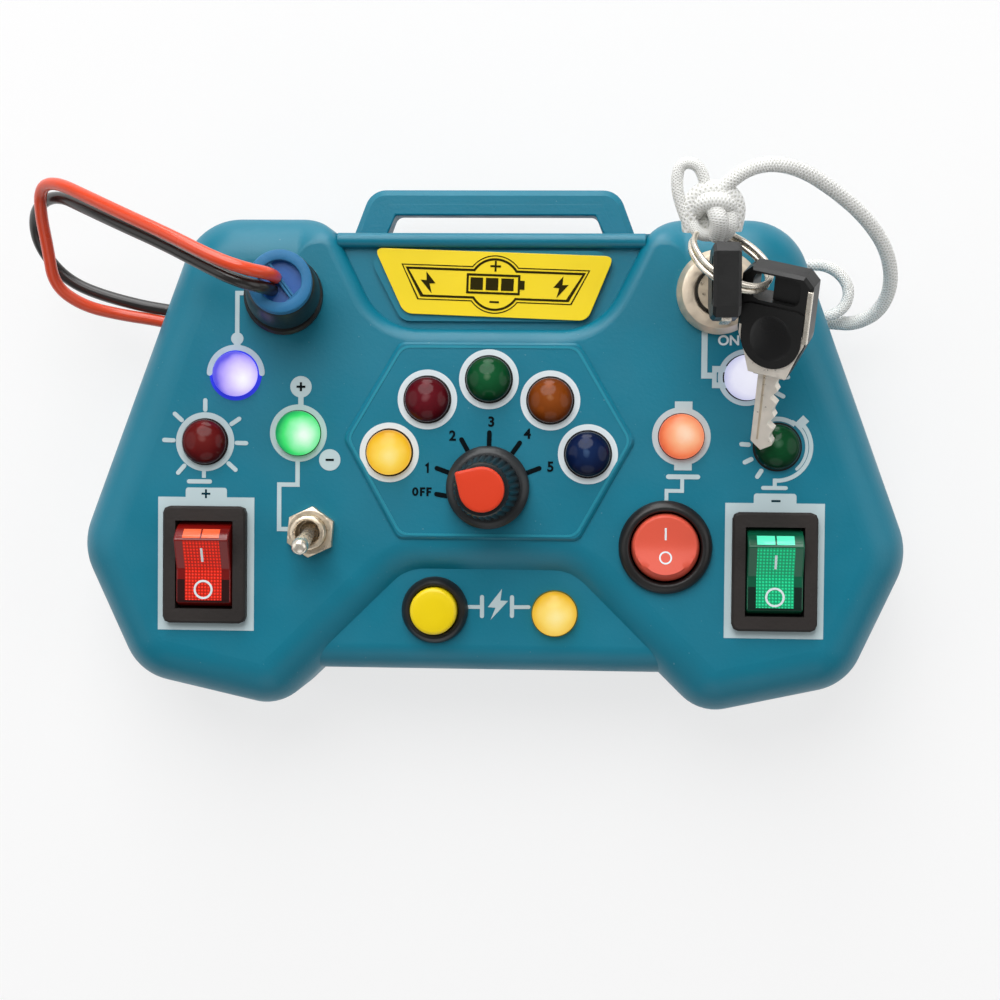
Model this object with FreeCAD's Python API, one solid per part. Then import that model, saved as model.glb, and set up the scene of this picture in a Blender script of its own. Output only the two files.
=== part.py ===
# Busy board: a hand-held play panel of switches, lamps, a lock and a plug, lying on its back.
# X runs to the right, Y towards the carrying handle and Z out of the front face, in millimetres.
# Places are measured from the row of dial lamps; one shift at the end centres the part.
import FreeCAD, Part
import math
import os
from FreeCAD import Rotation, Vector

os.makedirs("parts", exist_ok=True)

# Housing
board_thickness = 29.0
parting_height = 14.5
wall = 2.2
recess_depth = 2.6
nose_radius = 8.0
recess_edge_radius = 2.6
back_edge_chamfer = 3.0
foot_edge_radius = 5.0
inner_chamfer = 3.4
slab_half_width = 36.0
slab_bottom_y = -39.5
slab_top_y = 39.3

# Outline of the raised face, right half
valley_half_width = 14.0
valley_y = -23.0
valley_radius = 6.0
foot_inner_x = 38.3
foot_y = -47.0
foot_inner_radius = 8.6
foot_outer_x = 64.6
foot_outer_y = -41.2
foot_outer_radius = 10.5
hip_half_width = 75.5
hip_y = -17.6
hip_radius = 12.0
shoulder_outer_x = 53.7
shoulder_y = 42.3
shoulder_outer_radius = 11.0
shoulder_inner_x = 29.4
shoulder_inner_radius = 8.6
recess_half_width = 19.45
recess_y = 22.2
recess_corner_radius = 11.0

# Carrying handle
handle_half_width = 22.6
handle_top_y = 48.0
handle_spread = 4.0
handle_corner_radius = 4.0
handle_bar = 4.0
handle_post = 4.0
handle_thickness = 11.0
handle_chamfer = 1.1
opening_corner_radius = 1.5

# Ridge, dial panel, label
ridge_radius = 1.3
ridge_rise = 2.0
ridge_half_width = 27.5
panel_rise = 0.7
panel_half_width = 26.1
panel_side_y = 2.45
panel_top_half = 16.0
panel_top_y = 19.7
panel_bottom_half = 16.2
panel_bottom_y = -15.4
panel_corner_radius = 1.8
panel_chamfer = 0.4
pad_rise = 0.8
pad_y = 29.9
pad_height = 12.6
pad_half_top = 22.6
pad_half_bottom = 16.0
pad_corner_radius = 2.5
label_inset = 0.5
label_thickness = 0.6
label_turn = -1.9

# Flat sides that stand for a circle on pieces that repeat, hide or carry another piece
small_sides = 12
lamp_sides = 16
middle_sides = 20
large_sides = 32

# Fits
fit = 0.1
running_gap = 0.08
rocker_gap = 0.25
thread_gap = 0.05

# Shell screws
side_screw_x = 54.5
side_screw_y = 17.0
foot_screw_x = 41.0
foot_screw_y = -39.0
screw_radius = 1.25
screw_head_radius = 2.7
screw_head_height = 2.0
screw_seat = 6.0
screw_length = 12.0
front_boss_radius = 3.2
back_boss_radius = 4.6

# Lamps
lamp_radius = 4.0
lamp_rim = 1.3
lamp_dome = 1.9
lamp_crown_radius = 2.3
lamp_depth = 5.0
lead_width = 0.6
lead_pitch = 2.54
lead_length = 5.0

# Rocker switches
rocker_x = 50.85
rocker_y = -20.45
rocker_width = 15.0
rocker_length = 21.0
rocker_rim = 2.0
rocker_corner_radius = 1.2
rocker_chamfer = 0.4
rocker_opening_width = 10.4
rocker_opening_length = 15.8
rocker_body_width = 12.9
rocker_body_length = 19.1
rocker_body_depth = 10.8
rocker_floor = 3.0
rocker_pivot_depth = 3.2
rocker_radius = 7.6
rocker_flat = 3.5
rocker_belly = 2.8
rocker_throw = 25.0
rocker_pin_radius = 1.0
rocker_pin_reach = 0.95
rocker_skin = 0.9
insert_width = 7.2
insert_length = 10.8
insert_depth = 3.4
clip_width = 6.0
clip_reach = 0.9
clip_height = 4.0
terminal_width = 4.8
terminal_thickness = 0.8
terminal_length = 7.0

# Round rocker switch
button_rocker_x = 31.6
button_rocker_y = -16.36
button_rocker_rim_radius = 8.3
button_rocker_rim = 2.0
button_rocker_bevel = 0.6
button_rocker_opening = 6.4
button_rocker_barrel = 7.1
button_rocker_depth = 9.8
button_rocker_pivot_depth = 2.2
button_rocker_radius = 6.1
button_rocker_flat = 2.4
button_rocker_belly = 2.2
button_rocker_throw = 18.0
button_rocker_pin_radius = 0.9

# Toggle switch
toggle_x = -31.75
toggle_y = -14.37
toggle_body_width = 8.0
toggle_body_length = 13.0
toggle_body_depth = 9.8
toggle_bush_radius = 3.0
toggle_bush_height = 5.0
toggle_bore_radius = 2.15
toggle_nut_flats = 8.0
toggle_nut_height = 1.9
toggle_nut_turn = -5.0
toggle_pivot_height = 1.5
toggle_throw = 20.0
toggle_lever_length = 12.5
toggle_root_radius = 1.15
toggle_tip_radius = 1.45
toggle_ball_radius = 1.9
toggle_pin_radius = 0.6

# Rotary switch and its knob
dial_x = 0.0
dial_y = -6.07
dial_body_width = 15.0
dial_body_depth = 9.4
dial_bush_radius = 3.5
dial_bush_height = 2.0
dial_nut_flats = 8.8
dial_nut_height = 1.6
shaft_radius = 3.0
shaft_height = 12.5
knob_lift = 0.4
knob_flange_radius = 7.4
knob_flange_height = 2.0
knob_flange_bevel = 0.9
knob_base_radius = 5.9
knob_top_radius = 4.75
knob_height = 15.6
knob_flutes = 28
knob_flute_share = 0.06
knob_hollow_radius = 5.4
knob_hollow_depth = 1.9
cap_radius = 3.9
cap_pointer = 5.5
cap_height = 0.9
cap_angle = 148.0
cap_chamfer = 0.3

# Push button
push_x = -9.6
push_y = -28.3
push_rim_radius = 6.0
push_rim_top_radius = 5.1
push_rim_height = 2.2
push_bore_radius = 4.35
push_barrel_radius = 5.0
push_barrel_depth = 12.0
push_barrel_floor = 2.0
push_cap_rise = 2.0
push_cap_height = 5.0
push_travel = 1.5
push_nut_flats = 12.0
push_nut_height = 2.0
spring_radius = 3.4
spring_wall = 0.6

# Key switch
lock_x = 40.46
lock_y = 28.8
lock_head_radius = 7.45
lock_face_radius = 6.5
lock_head_rim = 1.2
lock_head_height = 2.5
lock_barrel_radius = 6.0
lock_barrel_depth = 17.0
lock_bore_radius = 4.25
lock_cylinder_length = 18.0
lock_cylinder_rise = 3.0
lock_nut_flats = 14.0
lock_nut_height = 2.2
keyway_gap = 0.1

# Keys
key_plate = 1.8
key_blade_width = 6.4
key_blade_length = 17.0
key_blade_tip = 1.4
notch_share = 0.14
bow_width = 12.3
bow_length = 19.0
bow_thickness = 4.6
bow_corner = 1.6
bow_foot_width = 6.8
bow_round = 4.0
bow_skin = 1.2
bow_edge = 0.5
bow_hole_width = 8.2
bow_hole_height = 4.8
bow_hole_corner = 1.2
bow_hole_y = -3.2
dish_width = 7.2
dish_length = 9.6
dish_depth = 0.7
dish_y = -11.5
key_top_height = 28.0
spare_blade_width = 3.8
spare_blade_length = 15.4
spare_hole_offset = -2.2
spare_heading = -3.5
spare_dip = 29.5
spare_roll = 20.2

# Key ring: where it runs through the grip's slot, seen from the slot's middle
ring_radius = 7.2
ring_wire = 1.1
ring_height = 2.2
ring_sides = 24
ring_tilt = 56.0
ring_heading = -30.7
ring_play = Vector(-1.02, 0.44, -0.23)

# Socket and plug
socket_x = -36.95
socket_y = 27.92
socket_rim_radius = 7.1
socket_rim_height = 1.6
socket_barrel_radius = 5.0
socket_barrel_depth = 12.0
socket_bore_radius = 3.6
socket_nut_flats = 12.0
socket_nut_height = 2.0
plug_lean = 9.0
plug_lean_heading = 40.0
plug_foot = 2.75
plug_waist = 12.0
plug_top = 14.2
plug_foot_radius = 6.6
plug_waist_radius = 5.7
plug_cap_radius = 5.55
plug_cup_radius = 3.7
plug_cup_depth = 1.6
plug_web = 1.2
pin_radius = 2.4
pin_length = 6.0
pin_root = 2.0

# Battery box
cell_radius = 5.25
cell_length = 44.5
cell_pitch = 11.2
cell_centre_y = 9.0
cell_height = 7.8
cell_count = 3
cell_nub_radius = 1.9
cell_nub = 0.8
contact_plate = 0.4
contact_reach = 2.2
contact_half = 4.0
leaf_width = 3.0
leaf_half = 3.0
leaf_touch = 1.0
box_wall = 1.6
box_end_gap = 0.6
door_thickness = 2.0
door_ledge = 1.0
door_gap = 0.3
tongue_width = 6.0
tongue_x = 15.0
tongue_thickness = 1.2
tongue_reach = 2.0
door_tab_half = 5.0
door_tab_length = 6.4
door_tab_corner = 2.0
door_screw_y = -12.5
door_screw_radius = 1.2
door_screw_head = 2.8
door_screw_length = 7.0
door_boss_radius = 3.5
door_boss_height = 9.0

# Cords
rope_radius = 1.4
rope_sides = 8
wire_radius = 1.0
wire_sides = 6
bend_step = 30.0
knot_centre = Vector(38.2, 40.4, 46.0)
knot_radius = 4.4
knot_length = 8.8

face = board_thickness
floor = board_thickness - recess_depth
dial_face = face + panel_rise
face_under = face - wall
floor_under = floor - wall
up = Vector(0, 0, 1)

parts = {}


# Basic solids

def block(x0, x1, y0, y1, z0, z1):
    return Part.makeBox(x1 - x0, y1 - y0, z1 - z0, Vector(x0, y0, z0))


def disc(x, y, radius, z0, z1):
    return Part.makeCylinder(radius, z1 - z0, Vector(x, y, z0))


def bar_x(y, z, radius, x0, x1):
    return Part.makeCylinder(radius, x1 - x0, Vector(x0, y, z), Vector(1, 0, 0))


def rod_x(y, z, radius, x0, x1):
    # The same with flat sides.
    rod = peg(0, 0, radius, 0, x1 - x0, small_sides)
    rod.rotate(Vector(0, 0, 0), Vector(0, 1, 0), 90)
    rod.translate(Vector(x0, y, z))
    return rod


def flat_face(points):
    return Part.Face(Part.makePolygon(points + points[:1]))


def ring_points(x, y, radius, z, sides, turn=0.0):
    angles = [math.radians(turn) + 2 * math.pi * k / sides for k in range(sides)]
    return [Vector(x + radius * math.cos(a), y + radius * math.sin(a), z) for a in angles]


def peg(x, y, radius, z0, z1, sides):
    return flat_face(ring_points(x, y, radius, z0, sides)).extrude(Vector(0, 0, z1 - z0))


def bore(x, y, radius, z0, z1, sides):
    # Hole whose flat sides touch the circle from outside, for a round piece that turns in it.
    return peg(x, y, radius / math.cos(math.pi / sides), z0, z1, sides)


def joined(rings, closed=False):
    # Solid whose flat sides join each ring of points to the next: its end rings close it, or
    # the last ring meets the first.
    faces = [] if closed else [flat_face(rings[0]), flat_face(rings[-1])]
    following = rings[1:] + rings[:1] if closed else rings[1:]
    for low, high in zip(rings, following):
        for k in range(len(low)):
            n = (k + 1) % len(low)
            faces.append(flat_face([low[k], low[n], high[n], high[k]]))
    solid = Part.Solid(Part.Shell(faces))
    if solid.Volume < 0:
        solid.reverse()
    return solid


def turned(x, y, profile, sides):
    # Body of revolution about a vertical line, from (radius, height) points.
    return joined([ring_points(x, y, r, z, sides) for r, z in profile])


def hexagon(x, y, flats, z0, z1, turn=0.0):
    reach = flats / 2 / math.cos(math.pi / 6)
    return flat_face(ring_points(x, y, reach, z0, 6, turn + 90)).extrude(Vector(0, 0, z1 - z0))


def corner_arcs(corners):
    # Each corner (x, y, radius) as the start, middle and end of its arc; a minus sign only
    # says that the corner is an inside one.
    arcs = []
    for i, (x, y, radius) in enumerate(corners):
        point = Vector(x, y, 0)
        back = Vector(corners[i - 1][0], corners[i - 1][1], 0) - point
        ahead_x, ahead_y = corners[(i + 1) % len(corners)][:2]
        ahead = Vector(ahead_x, ahead_y, 0) - point
        back.normalize()
        ahead.normalize()
        half = back.getAngle(ahead) / 2
        reach = abs(radius) / math.tan(half)
        inward = (back + ahead).normalize()
        middle = point + inward * (abs(radius) / math.sin(half) - abs(radius))
        arcs.append((point + back * reach, middle, point + ahead * reach))
    return arcs


def rounded_edges(corners):
    arcs = corner_arcs(corners)
    edges = []
    for i, (start, middle, end) in enumerate(arcs):
        following = arcs[(i + 1) % len(arcs)][0]
        if corners[i][2]:
            edges.append(Part.Arc(start, middle, end).toShape())
        edges.append(Part.LineSegment(end, following).toShape())
    return edges


def prism(corners, z0, z1):
    solid = Part.Face(Part.Wire(rounded_edges(corners))).extrude(Vector(0, 0, z1 - z0))
    solid.translate(Vector(0, 0, z0))
    return solid


def eased_prism(corners, z0, z1):
    # The same outline with two flats at each corner, for inside and small shapes.
    points = [p for arc in corner_arcs(corners) for p in arc]
    solid = flat_face(points).extrude(Vector(0, 0, z1 - z0))
    solid.translate(Vector(0, 0, z0))
    return solid


def rectangle(x, y, width, length, radius):
    w = width / 2
    h = length / 2
    return [(x - w, y - h, radius), (x + w, y - h, radius), (x + w, y + h, radius), (x - w, y + h, radius)]


def edges_at(shape, z):
    return [e for e in shape.Edges if all(abs(v.Z - z) < 1e-6 for v in e.Vertexes)]


def inset(corners, distance):
    # The anticlockwise outline moved inwards, with its round corners kept concentric.
    moved = []
    for i, (x, y, radius) in enumerate(corners):
        point = Vector(x, y, 0)
        before = point - Vector(corners[i - 1][0], corners[i - 1][1], 0)
        ahead_x, ahead_y = corners[(i + 1) % len(corners)][:2]
        after = Vector(ahead_x, ahead_y, 0) - point
        before.normalize()
        after.normalize()
        left_before = up.cross(before)
        left_after = up.cross(after)
        shift = (left_before + left_after) * (distance / (1 + left_before.dot(left_after)))
        moved.append((x + shift.x, y + shift.y, radius - distance))
    return moved


# Housing shells

def face_corners():
    right = [
        (valley_half_width, valley_y, -valley_radius),
        (foot_inner_x, foot_y, foot_inner_radius),
        (foot_outer_x, foot_outer_y, foot_outer_radius),
        (hip_half_width, hip_y, hip_radius),
        (shoulder_outer_x, shoulder_y, shoulder_outer_radius),
        (shoulder_inner_x, shoulder_y, shoulder_inner_radius),
        (recess_half_width, recess_y, -recess_corner_radius),
    ]
    return right + [(-x, y, radius) for x, y, radius in reversed(right)]


def outline_lowest():
    # Lowest Y of the round corner at the foot's inner side.
    start, middle, end = corner_arcs(face_corners())[1]
    return Part.Arc(start, middle, end).toShape().Curve.Center.y - foot_inner_radius


def edge_radii():
    # Rounding at the start and end of each stretch of face_corners: bull nose outside, and a
    # small edge round the label recess, with a change over along the inner shoulders.
    outer = [(nose_radius, nose_radius)] * 10
    to_recess = [(nose_radius, recess_edge_radius), (recess_edge_radius, recess_edge_radius)]
    recess = [(recess_edge_radius, recess_edge_radius)] * 2
    return outer + to_recess + recess


def nosed_plateau():
    edges = rounded_edges(face_corners())
    solid = prism(face_corners(), parting_height, face)
    right = edge_radii()
    left = [(b, a) for a, b in reversed(right[:-1])] + [(nose_radius, nose_radius)]
    radii = right + left
    picks = []
    for number, edge in enumerate(solid.Edges, 1):
        if not all(abs(v.Z - face) < 1e-6 for v in edge.Vertexes):
            continue
        middle = edge.valueAt((edge.FirstParameter + edge.LastParameter) / 2)
        begin = edge.valueAt(edge.FirstParameter)
        for flat, (first, last) in zip(edges, radii):
            flat_middle = flat.valueAt((flat.FirstParameter + flat.LastParameter) / 2)
            if math.hypot(middle.x - flat_middle.x, middle.y - flat_middle.y) > 0.001:
                continue
            start = flat.valueAt(flat.FirstParameter)
            same_way = math.hypot(begin.x - start.x, begin.y - start.y) < 0.001
            picks.append((number, first, last) if same_way else (number, last, first))
    document = FreeCAD.newDocument("nose")
    base = document.addObject("Part::Feature", "base")
    base.Shape = solid
    fillet = document.addObject("Part::Fillet", "fillet")
    fillet.Base = base
    fillet.Edges = picks
    document.recompute()
    return fillet.Shape.copy()


def slab(distance, z0, z1):
    return block(-slab_half_width, slab_half_width, slab_bottom_y + distance, slab_top_y - distance, z0, z1)


def handle_root():
    # The handle grows out of the wall's thickness, under the slab's edge.
    return slab_top_y - wall + 0.3


def handle_outline():
    spread = handle_half_width + handle_spread
    corner = handle_corner_radius
    return [(-spread, handle_root(), 0), (spread, handle_root(), 0),
            (handle_half_width, handle_top_y, corner), (-handle_half_width, handle_top_y, corner)]


def handle_opening():
    # Cut right through the root, so that the slab's edge closes the opening.
    top = handle_top_y - handle_bar
    low = handle_root() - 1
    top_half = handle_half_width - handle_post
    foot_half = top_half + handle_spread * (top - low) / (handle_top_y - handle_root())
    corner = opening_corner_radius
    return [(-foot_half, low, 0), (foot_half, low, 0), (top_half, top, corner), (-top_half, top, corner)]


def handle_half(z0, z1, outer_z):
    solid = prism(handle_outline(), z0, z1).cut(prism(handle_opening(), z0 - 1, z1 + 1))
    edges = [e for e in edges_at(solid, outer_z) if e.CenterOfMass.y > handle_root() + 0.01]
    return solid.makeChamfer(handle_chamfer, edges)


def ridge():
    y = slab_top_y - ridge_radius
    top = floor + ridge_rise
    centre = top - ridge_radius
    bead = bar_x(y, centre, ridge_radius, -ridge_half_width, ridge_half_width)
    stem = block(-ridge_half_width, ridge_half_width, y - ridge_radius, y + ridge_radius, floor - 0.5, centre)
    return bead.fuse(stem)


def dial_panel():
    radius = panel_corner_radius
    corners = [
        (panel_half_width, panel_side_y, radius), (panel_top_half, panel_top_y, radius),
        (-panel_top_half, panel_top_y, radius), (-panel_half_width, panel_side_y, radius),
        (-panel_bottom_half, panel_bottom_y, radius), (panel_bottom_half, panel_bottom_y, radius),
    ]
    solid = prism(corners, face - 0.5, dial_face)
    return solid.makeChamfer(panel_chamfer, edges_at(solid, dial_face))


def trapezoid(distance):
    top = pad_y + pad_height / 2 - distance
    bottom = pad_y - pad_height / 2 + distance
    radius = pad_corner_radius
    return [(-pad_half_bottom + distance, bottom, radius), (pad_half_bottom - distance, bottom, radius),
            (pad_half_top - distance, top, radius), (-pad_half_top + distance, top, radius)]


def screw_places():
    pairs = [(side_screw_x, side_screw_y), (foot_screw_x, foot_screw_y)]
    return [(side * x, y) for x, y in pairs for side in (-1, 1)]


def lamp_places():
    # name, x, y, height of the panel there
    return [
        ("lamp_violet", -45.6, 13.8, face), ("lamp_white", 45.6, 13.8, face),
        ("lamp_red_left", -51.1, 1.6, face), ("lamp_green_right", 51.1, 1.6, face),
        ("lamp_green_left", -34.2, 3.3, face), ("lamp_orange_right", 34.2, 3.3, face),
        ("lamp_yellow", -17.71, 0.0, dial_face), ("lamp_blue", 17.71, 0.0, dial_face),
        ("lamp_red", -10.95, 9.48, dial_face), ("lamp_orange", 10.95, 9.48, dial_face),
        ("lamp_green", 0.0, 13.16, dial_face), ("lamp_amber", 11.97, -28.7, floor),
    ]


def front_cavity():
    hollow = eased_prism(inset(face_corners(), wall), parting_height - 1, face_under)
    hollow = hollow.makeChamfer(inner_chamfer, edges_at(hollow, face_under))
    low = slab(wall, parting_height - 1, floor_under)
    return hollow.fuse(low)


def panel_holes():
    low = parting_height
    high = dial_face + 2

    def hole(x, y, radius, sides):
        return peg(x, y, radius + fit, low, high, sides)

    holes = [hole(x, y, lamp_radius, lamp_sides) for name, x, y, z in lamp_places()]
    for side in (-1, 1):
        x = side * rocker_x
        wide = rocker_body_width / 2 + 1.5 * fit
        long = rocker_body_length / 2 + 1.5 * fit
        holes.append(block(x - wide, x + wide, rocker_y - long, rocker_y + long, low, high))
    holes.append(hole(button_rocker_x, button_rocker_y, button_rocker_barrel, large_sides))
    holes.append(hole(toggle_x, toggle_y, toggle_bush_radius, middle_sides))
    holes.append(hole(dial_x, dial_y, dial_bush_radius, middle_sides))
    holes.append(hole(push_x, push_y, push_barrel_radius, large_sides))
    holes.append(hole(lock_x, lock_y, lock_barrel_radius, large_sides))
    holes.append(hole(socket_x, socket_y, socket_barrel_radius, large_sides))
    return holes


def cord_holes():
    # Where the cords pass through the side walls, on the parting line.
    ends = [(red_route[::-1], wire_radius), (black_route[::-1], wire_radius), (rope_route[::-1], rope_radius),
            (loop_route[::-1], rope_radius), (loop_route, rope_radius)]
    holes = []
    for points, radius in ends:
        inner = Vector(*points[0])
        way = (Vector(*points[1]) - inner).normalize()
        hole = bore(0, 0, radius + fit, -1, 8, small_sides)
        hole.Placement = FreeCAD.Placement(inner, Rotation(up, way))
        holes.append(hole)
    return holes


def front_shell():
    foot = slab(0, parting_height, floor)
    lower_edge = [e for e in edges_at(foot, floor) if e.CenterOfMass.y < slab_bottom_y + 0.01]
    foot = foot.makeFillet(foot_edge_radius, lower_edge)
    handle = handle_half(parting_height, parting_height + handle_thickness / 2,
                         parting_height + handle_thickness / 2)
    pad = prism(trapezoid(0), floor - 0.5, floor + pad_rise)
    shell = nosed_plateau().fuse([foot, handle, ridge(), dial_panel(), pad])
    shell = shell.cut(front_cavity())
    bosses = [peg(x, y, front_boss_radius, parting_height, face_under + 0.5, small_sides)
              for x, y in screw_places()]
    shell = shell.fuse(bosses).removeSplitter()
    pilots = [peg(x, y, screw_radius + thread_gap, parting_height - 1, screw_seat + screw_length + 2, small_sides)
              for x, y in screw_places()]
    return shell.cut(panel_holes() + pilots + cord_holes())


def battery_box_sizes():
    half_length = cell_length / 2 + contact_plate + contact_reach
    half_width = (cell_count - 1) / 2 * cell_pitch + cell_radius + box_end_gap
    low = cell_centre_y - half_width
    high = cell_centre_y + half_width
    ceiling = cell_height + cell_radius + 0.35
    return half_length, low, high, ceiling


def screw_slot(radius, travel, z0, z1):
    # Hole for the door's captive screw, drawn out towards -Y for its swing.
    near = bore(0, door_screw_y, radius, z0, z1, small_sides)
    far = bore(0, door_screw_y - travel, radius, z0, z1, small_sides)
    middle = block(-radius, radius, door_screw_y - travel, door_screw_y, z0, z1)
    return near.fuse([far, middle])


def back_shell():
    low_solid = prism(face_corners(), 0, parting_height)
    low_solid = low_solid.makeChamfer(back_edge_chamfer, edges_at(low_solid, 0))
    foot = slab(0, 0, parting_height)
    ends = [e for e in edges_at(foot, 0) if abs(e.CenterOfMass.x) < 0.01]
    foot = foot.makeChamfer(back_edge_chamfer, ends)
    handle = handle_half(parting_height - handle_thickness / 2, parting_height,
                         parting_height - handle_thickness / 2)
    shell = low_solid.fuse([foot, handle])
    hollow = eased_prism(inset(face_corners(), wall), wall, parting_height + 1)
    shell = shell.cut(hollow.fuse(slab(wall, wall, parting_height + 1)))
    half, low, high, ceiling = battery_box_sizes()
    box = block(-half - box_wall, half + box_wall, low - box_wall, high + box_wall, wall, ceiling + box_wall)
    bosses = [peg(x, y, back_boss_radius, wall - 0.5, parting_height, small_sides) for x, y in screw_places()]
    door_boss = peg(0, door_screw_y, door_boss_radius, wall - 0.5, door_boss_height, small_sides)
    shell = shell.fuse([box, door_boss] + bosses).removeSplitter()
    cuts = [block(-half, half, low, high, -1, ceiling)]
    opening = door_ledge
    cuts.append(block(-half - opening, half + opening, low - opening, high + opening, -1, wall))
    tab = door_tab_half + door_gap
    cuts.append(block(-tab, tab, low - opening - door_tab_length - door_gap, low, -1, wall))
    tongue_top = wall + tongue_thickness + 0.15 + 0.75
    for side in (-1, 1):
        x = side * tongue_x
        reach = tongue_width / 2 + door_gap
        cuts.append(block(x - reach, x + reach, high - 1, high + box_wall + 1, wall, tongue_top))
    for x, y in screw_places():
        cuts.append(peg(x, y, screw_radius + 4 * fit, -1, parting_height + 1, small_sides))
        cuts.append(peg(x, y, screw_head_radius + 3 * fit, -1, screw_seat, small_sides))
    cuts.append(screw_slot(door_screw_radius + 1.5 * fit, 0.7, -1, door_boss_height + 1))
    return shell.cut(cuts + cord_holes())


def shell_screws():
    screws = []
    for x, y in screw_places():
        low = screw_seat - screw_head_height
        tip = screw_seat + screw_length
        screws.append(turned(x, y, [(screw_head_radius, low), (screw_head_radius, screw_seat),
                                    (screw_radius, screw_seat), (screw_radius, tip)], small_sides))
    return Part.makeCompound(screws)


def battery_door():
    half, low, high, ceiling = battery_box_sizes()
    edge = door_ledge - door_gap
    plate = block(-half - edge, half + edge, low - edge, high + edge, 0, door_thickness)
    tab_end = low - door_ledge - door_tab_length
    corner = door_tab_corner
    tab = eased_prism([(-door_tab_half, tab_end, corner), (door_tab_half, tab_end, corner),
                       (door_tab_half, low, 0), (-door_tab_half, low, 0)], 0, door_thickness)
    hooks = []
    for side in (-1, 1):
        x0 = side * tongue_x - tongue_width / 2
        x1 = side * tongue_x + tongue_width / 2
        base = wall + 0.15
        hooks.append(block(x0, x1, high - 1.3, high - 0.1, 0.5, base + tongue_thickness))
        reach = high + door_ledge + tongue_reach
        hooks.append(block(x0, x1, high - 1.3, reach, base, base + tongue_thickness))
    door = plate.fuse([tab] + hooks)
    seat = bore(0, door_screw_y, door_screw_head + fit, -1, 1.4, small_sides)
    return door.cut([seat, bore(0, door_screw_y, door_screw_radius + fit, -1, 3, small_sides)])


def battery_door_screw():
    head = peg(0, door_screw_y, door_screw_head, 0.15, 1.25, small_sides)
    shank = disc(0, door_screw_y, door_screw_radius, 1.25, door_screw_length)
    return head.fuse(shank)


def cell_rows():
    first = cell_centre_y - (cell_count - 1) / 2 * cell_pitch
    return [(first + cell_pitch * k, 1 if k % 2 else -1) for k in range(cell_count)]


def battery_cells():
    cells = []
    half = cell_length / 2
    for y, side in cell_rows():
        body_start = -half if side > 0 else -half + cell_nub
        can = rod_x(y, cell_height, cell_radius, body_start, body_start + cell_length - cell_nub)
        nub_start = half - cell_nub if side > 0 else -half
        cells.append(can.fuse(rod_x(y, cell_height, cell_nub_radius, nub_start, nub_start + cell_nub)))
    return Part.makeCompound(cells)


def battery_contacts():
    # Plates in the box's ends, each with a pressed leaf that meets its cell.
    contacts = []
    half = cell_length / 2 + contact_reach
    for y, side in cell_rows():
        for end in (-1, 1):
            inner = end * half
            outer = end * (half + contact_plate)
            tip = end * cell_length / 2
            z = cell_height
            plate = block(min(inner, outer), max(inner, outer), y - contact_half, y + contact_half,
                          z - contact_half, z + contact_half)
            points = [Vector(inner, y, z - leaf_half), Vector(tip, y, z - leaf_touch),
                      Vector(tip, y, z + leaf_touch), Vector(inner, y, z + leaf_half)]
            leaf = flat_face(points).extrude(Vector(0, leaf_width, 0))
            leaf.translate(Vector(0, -leaf_width / 2, 0))
            contacts.append(plate.fuse(leaf))
    return Part.makeCompound(contacts)


def label_plate():
    plate = prism(trapezoid(label_inset), floor + pad_rise, floor + pad_rise + label_thickness)
    plate.rotate(Vector(0, pad_y, 0), up, label_turn)
    return plate


# Lamps

def lamp(x, y, z):
    rim = z + lamp_rim
    return turned(x, y, [(lamp_radius, z - lamp_depth), (lamp_radius, rim),
                         (lamp_crown_radius, rim + lamp_dome)], lamp_sides)


def lamp_leads():
    leads = []
    half = lead_width / 2
    for name, x, y, z in lamp_places():
        foot = z - lamp_depth
        for side in (-1, 1):
            centre = x + side * lead_pitch / 2
            leads.append(block(centre - half, centre + half, y - half, y + half, foot - lead_length, foot))
    return Part.makeCompound(leads)


# Rocker switches

def rocker_frame(x):
    y = rocker_y
    rim = eased_prism(rectangle(x, y, rocker_width, rocker_length, rocker_corner_radius), face, face + rocker_rim)
    rim = rim.makeChamfer(rocker_chamfer, edges_at(rim, face + rocker_rim))
    bottom = face - rocker_body_depth - wall
    half_width = rocker_body_width / 2
    half_length = rocker_body_length / 2
    body = block(x - half_width, x + half_width, y - half_length, y + half_length, bottom, face)
    clips = []
    for end in (-1, 1):
        side = y + end * half_length
        points = [Vector(x - clip_width / 2, side, face_under - clip_height),
                  Vector(x - clip_width / 2, side + end * clip_reach, face_under - fit),
                  Vector(x - clip_width / 2, side, face_under - fit)]
        clips.append(flat_face(points).extrude(Vector(clip_width, 0, 0)))
    frame = rim.fuse([body] + clips)
    wide = rocker_opening_width / 2
    long = rocker_opening_length / 2
    well = block(x - wide, x + wide, y - long, y + long, bottom + rocker_floor, face + rocker_rim + 1)
    pivot = face + rocker_rim - rocker_pivot_depth
    reach = wide + rocker_pin_reach - running_gap / 2
    pins = bar_x(y, pivot, rocker_pin_radius + running_gap, x - reach, x + reach)
    return frame.cut([well, pins])


def rocker_paddle_block(x):
    # Barrel-shaped paddle with a shallow V on top: the -Y half lies level, pressed in.
    pivot = face + rocker_rim - rocker_pivot_depth
    half = rocker_opening_width / 2 - rocker_gap
    barrel = bar_x(rocker_y, pivot, rocker_radius, x - half, x + half)
    far = 2 * rocker_radius
    tilt = math.radians(rocker_throw)
    valley = -rocker_flat * math.tan(tilt / 2)
    low = -rocker_belly / math.cos(tilt / 2)
    slope = math.tan(tilt / 2)
    points = [(-far, rocker_flat), (valley, rocker_flat),
              (far, rocker_flat + (far - valley) * math.tan(tilt)),
              (far, low + far * slope), (-far, low - far * slope)]
    corners = [Vector(x - half - 1, rocker_y + y, pivot + z) for y, z in points]
    envelope = flat_face(corners).extrude(Vector(2 * half + 2, 0, 0))
    return barrel.common(envelope)


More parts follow.
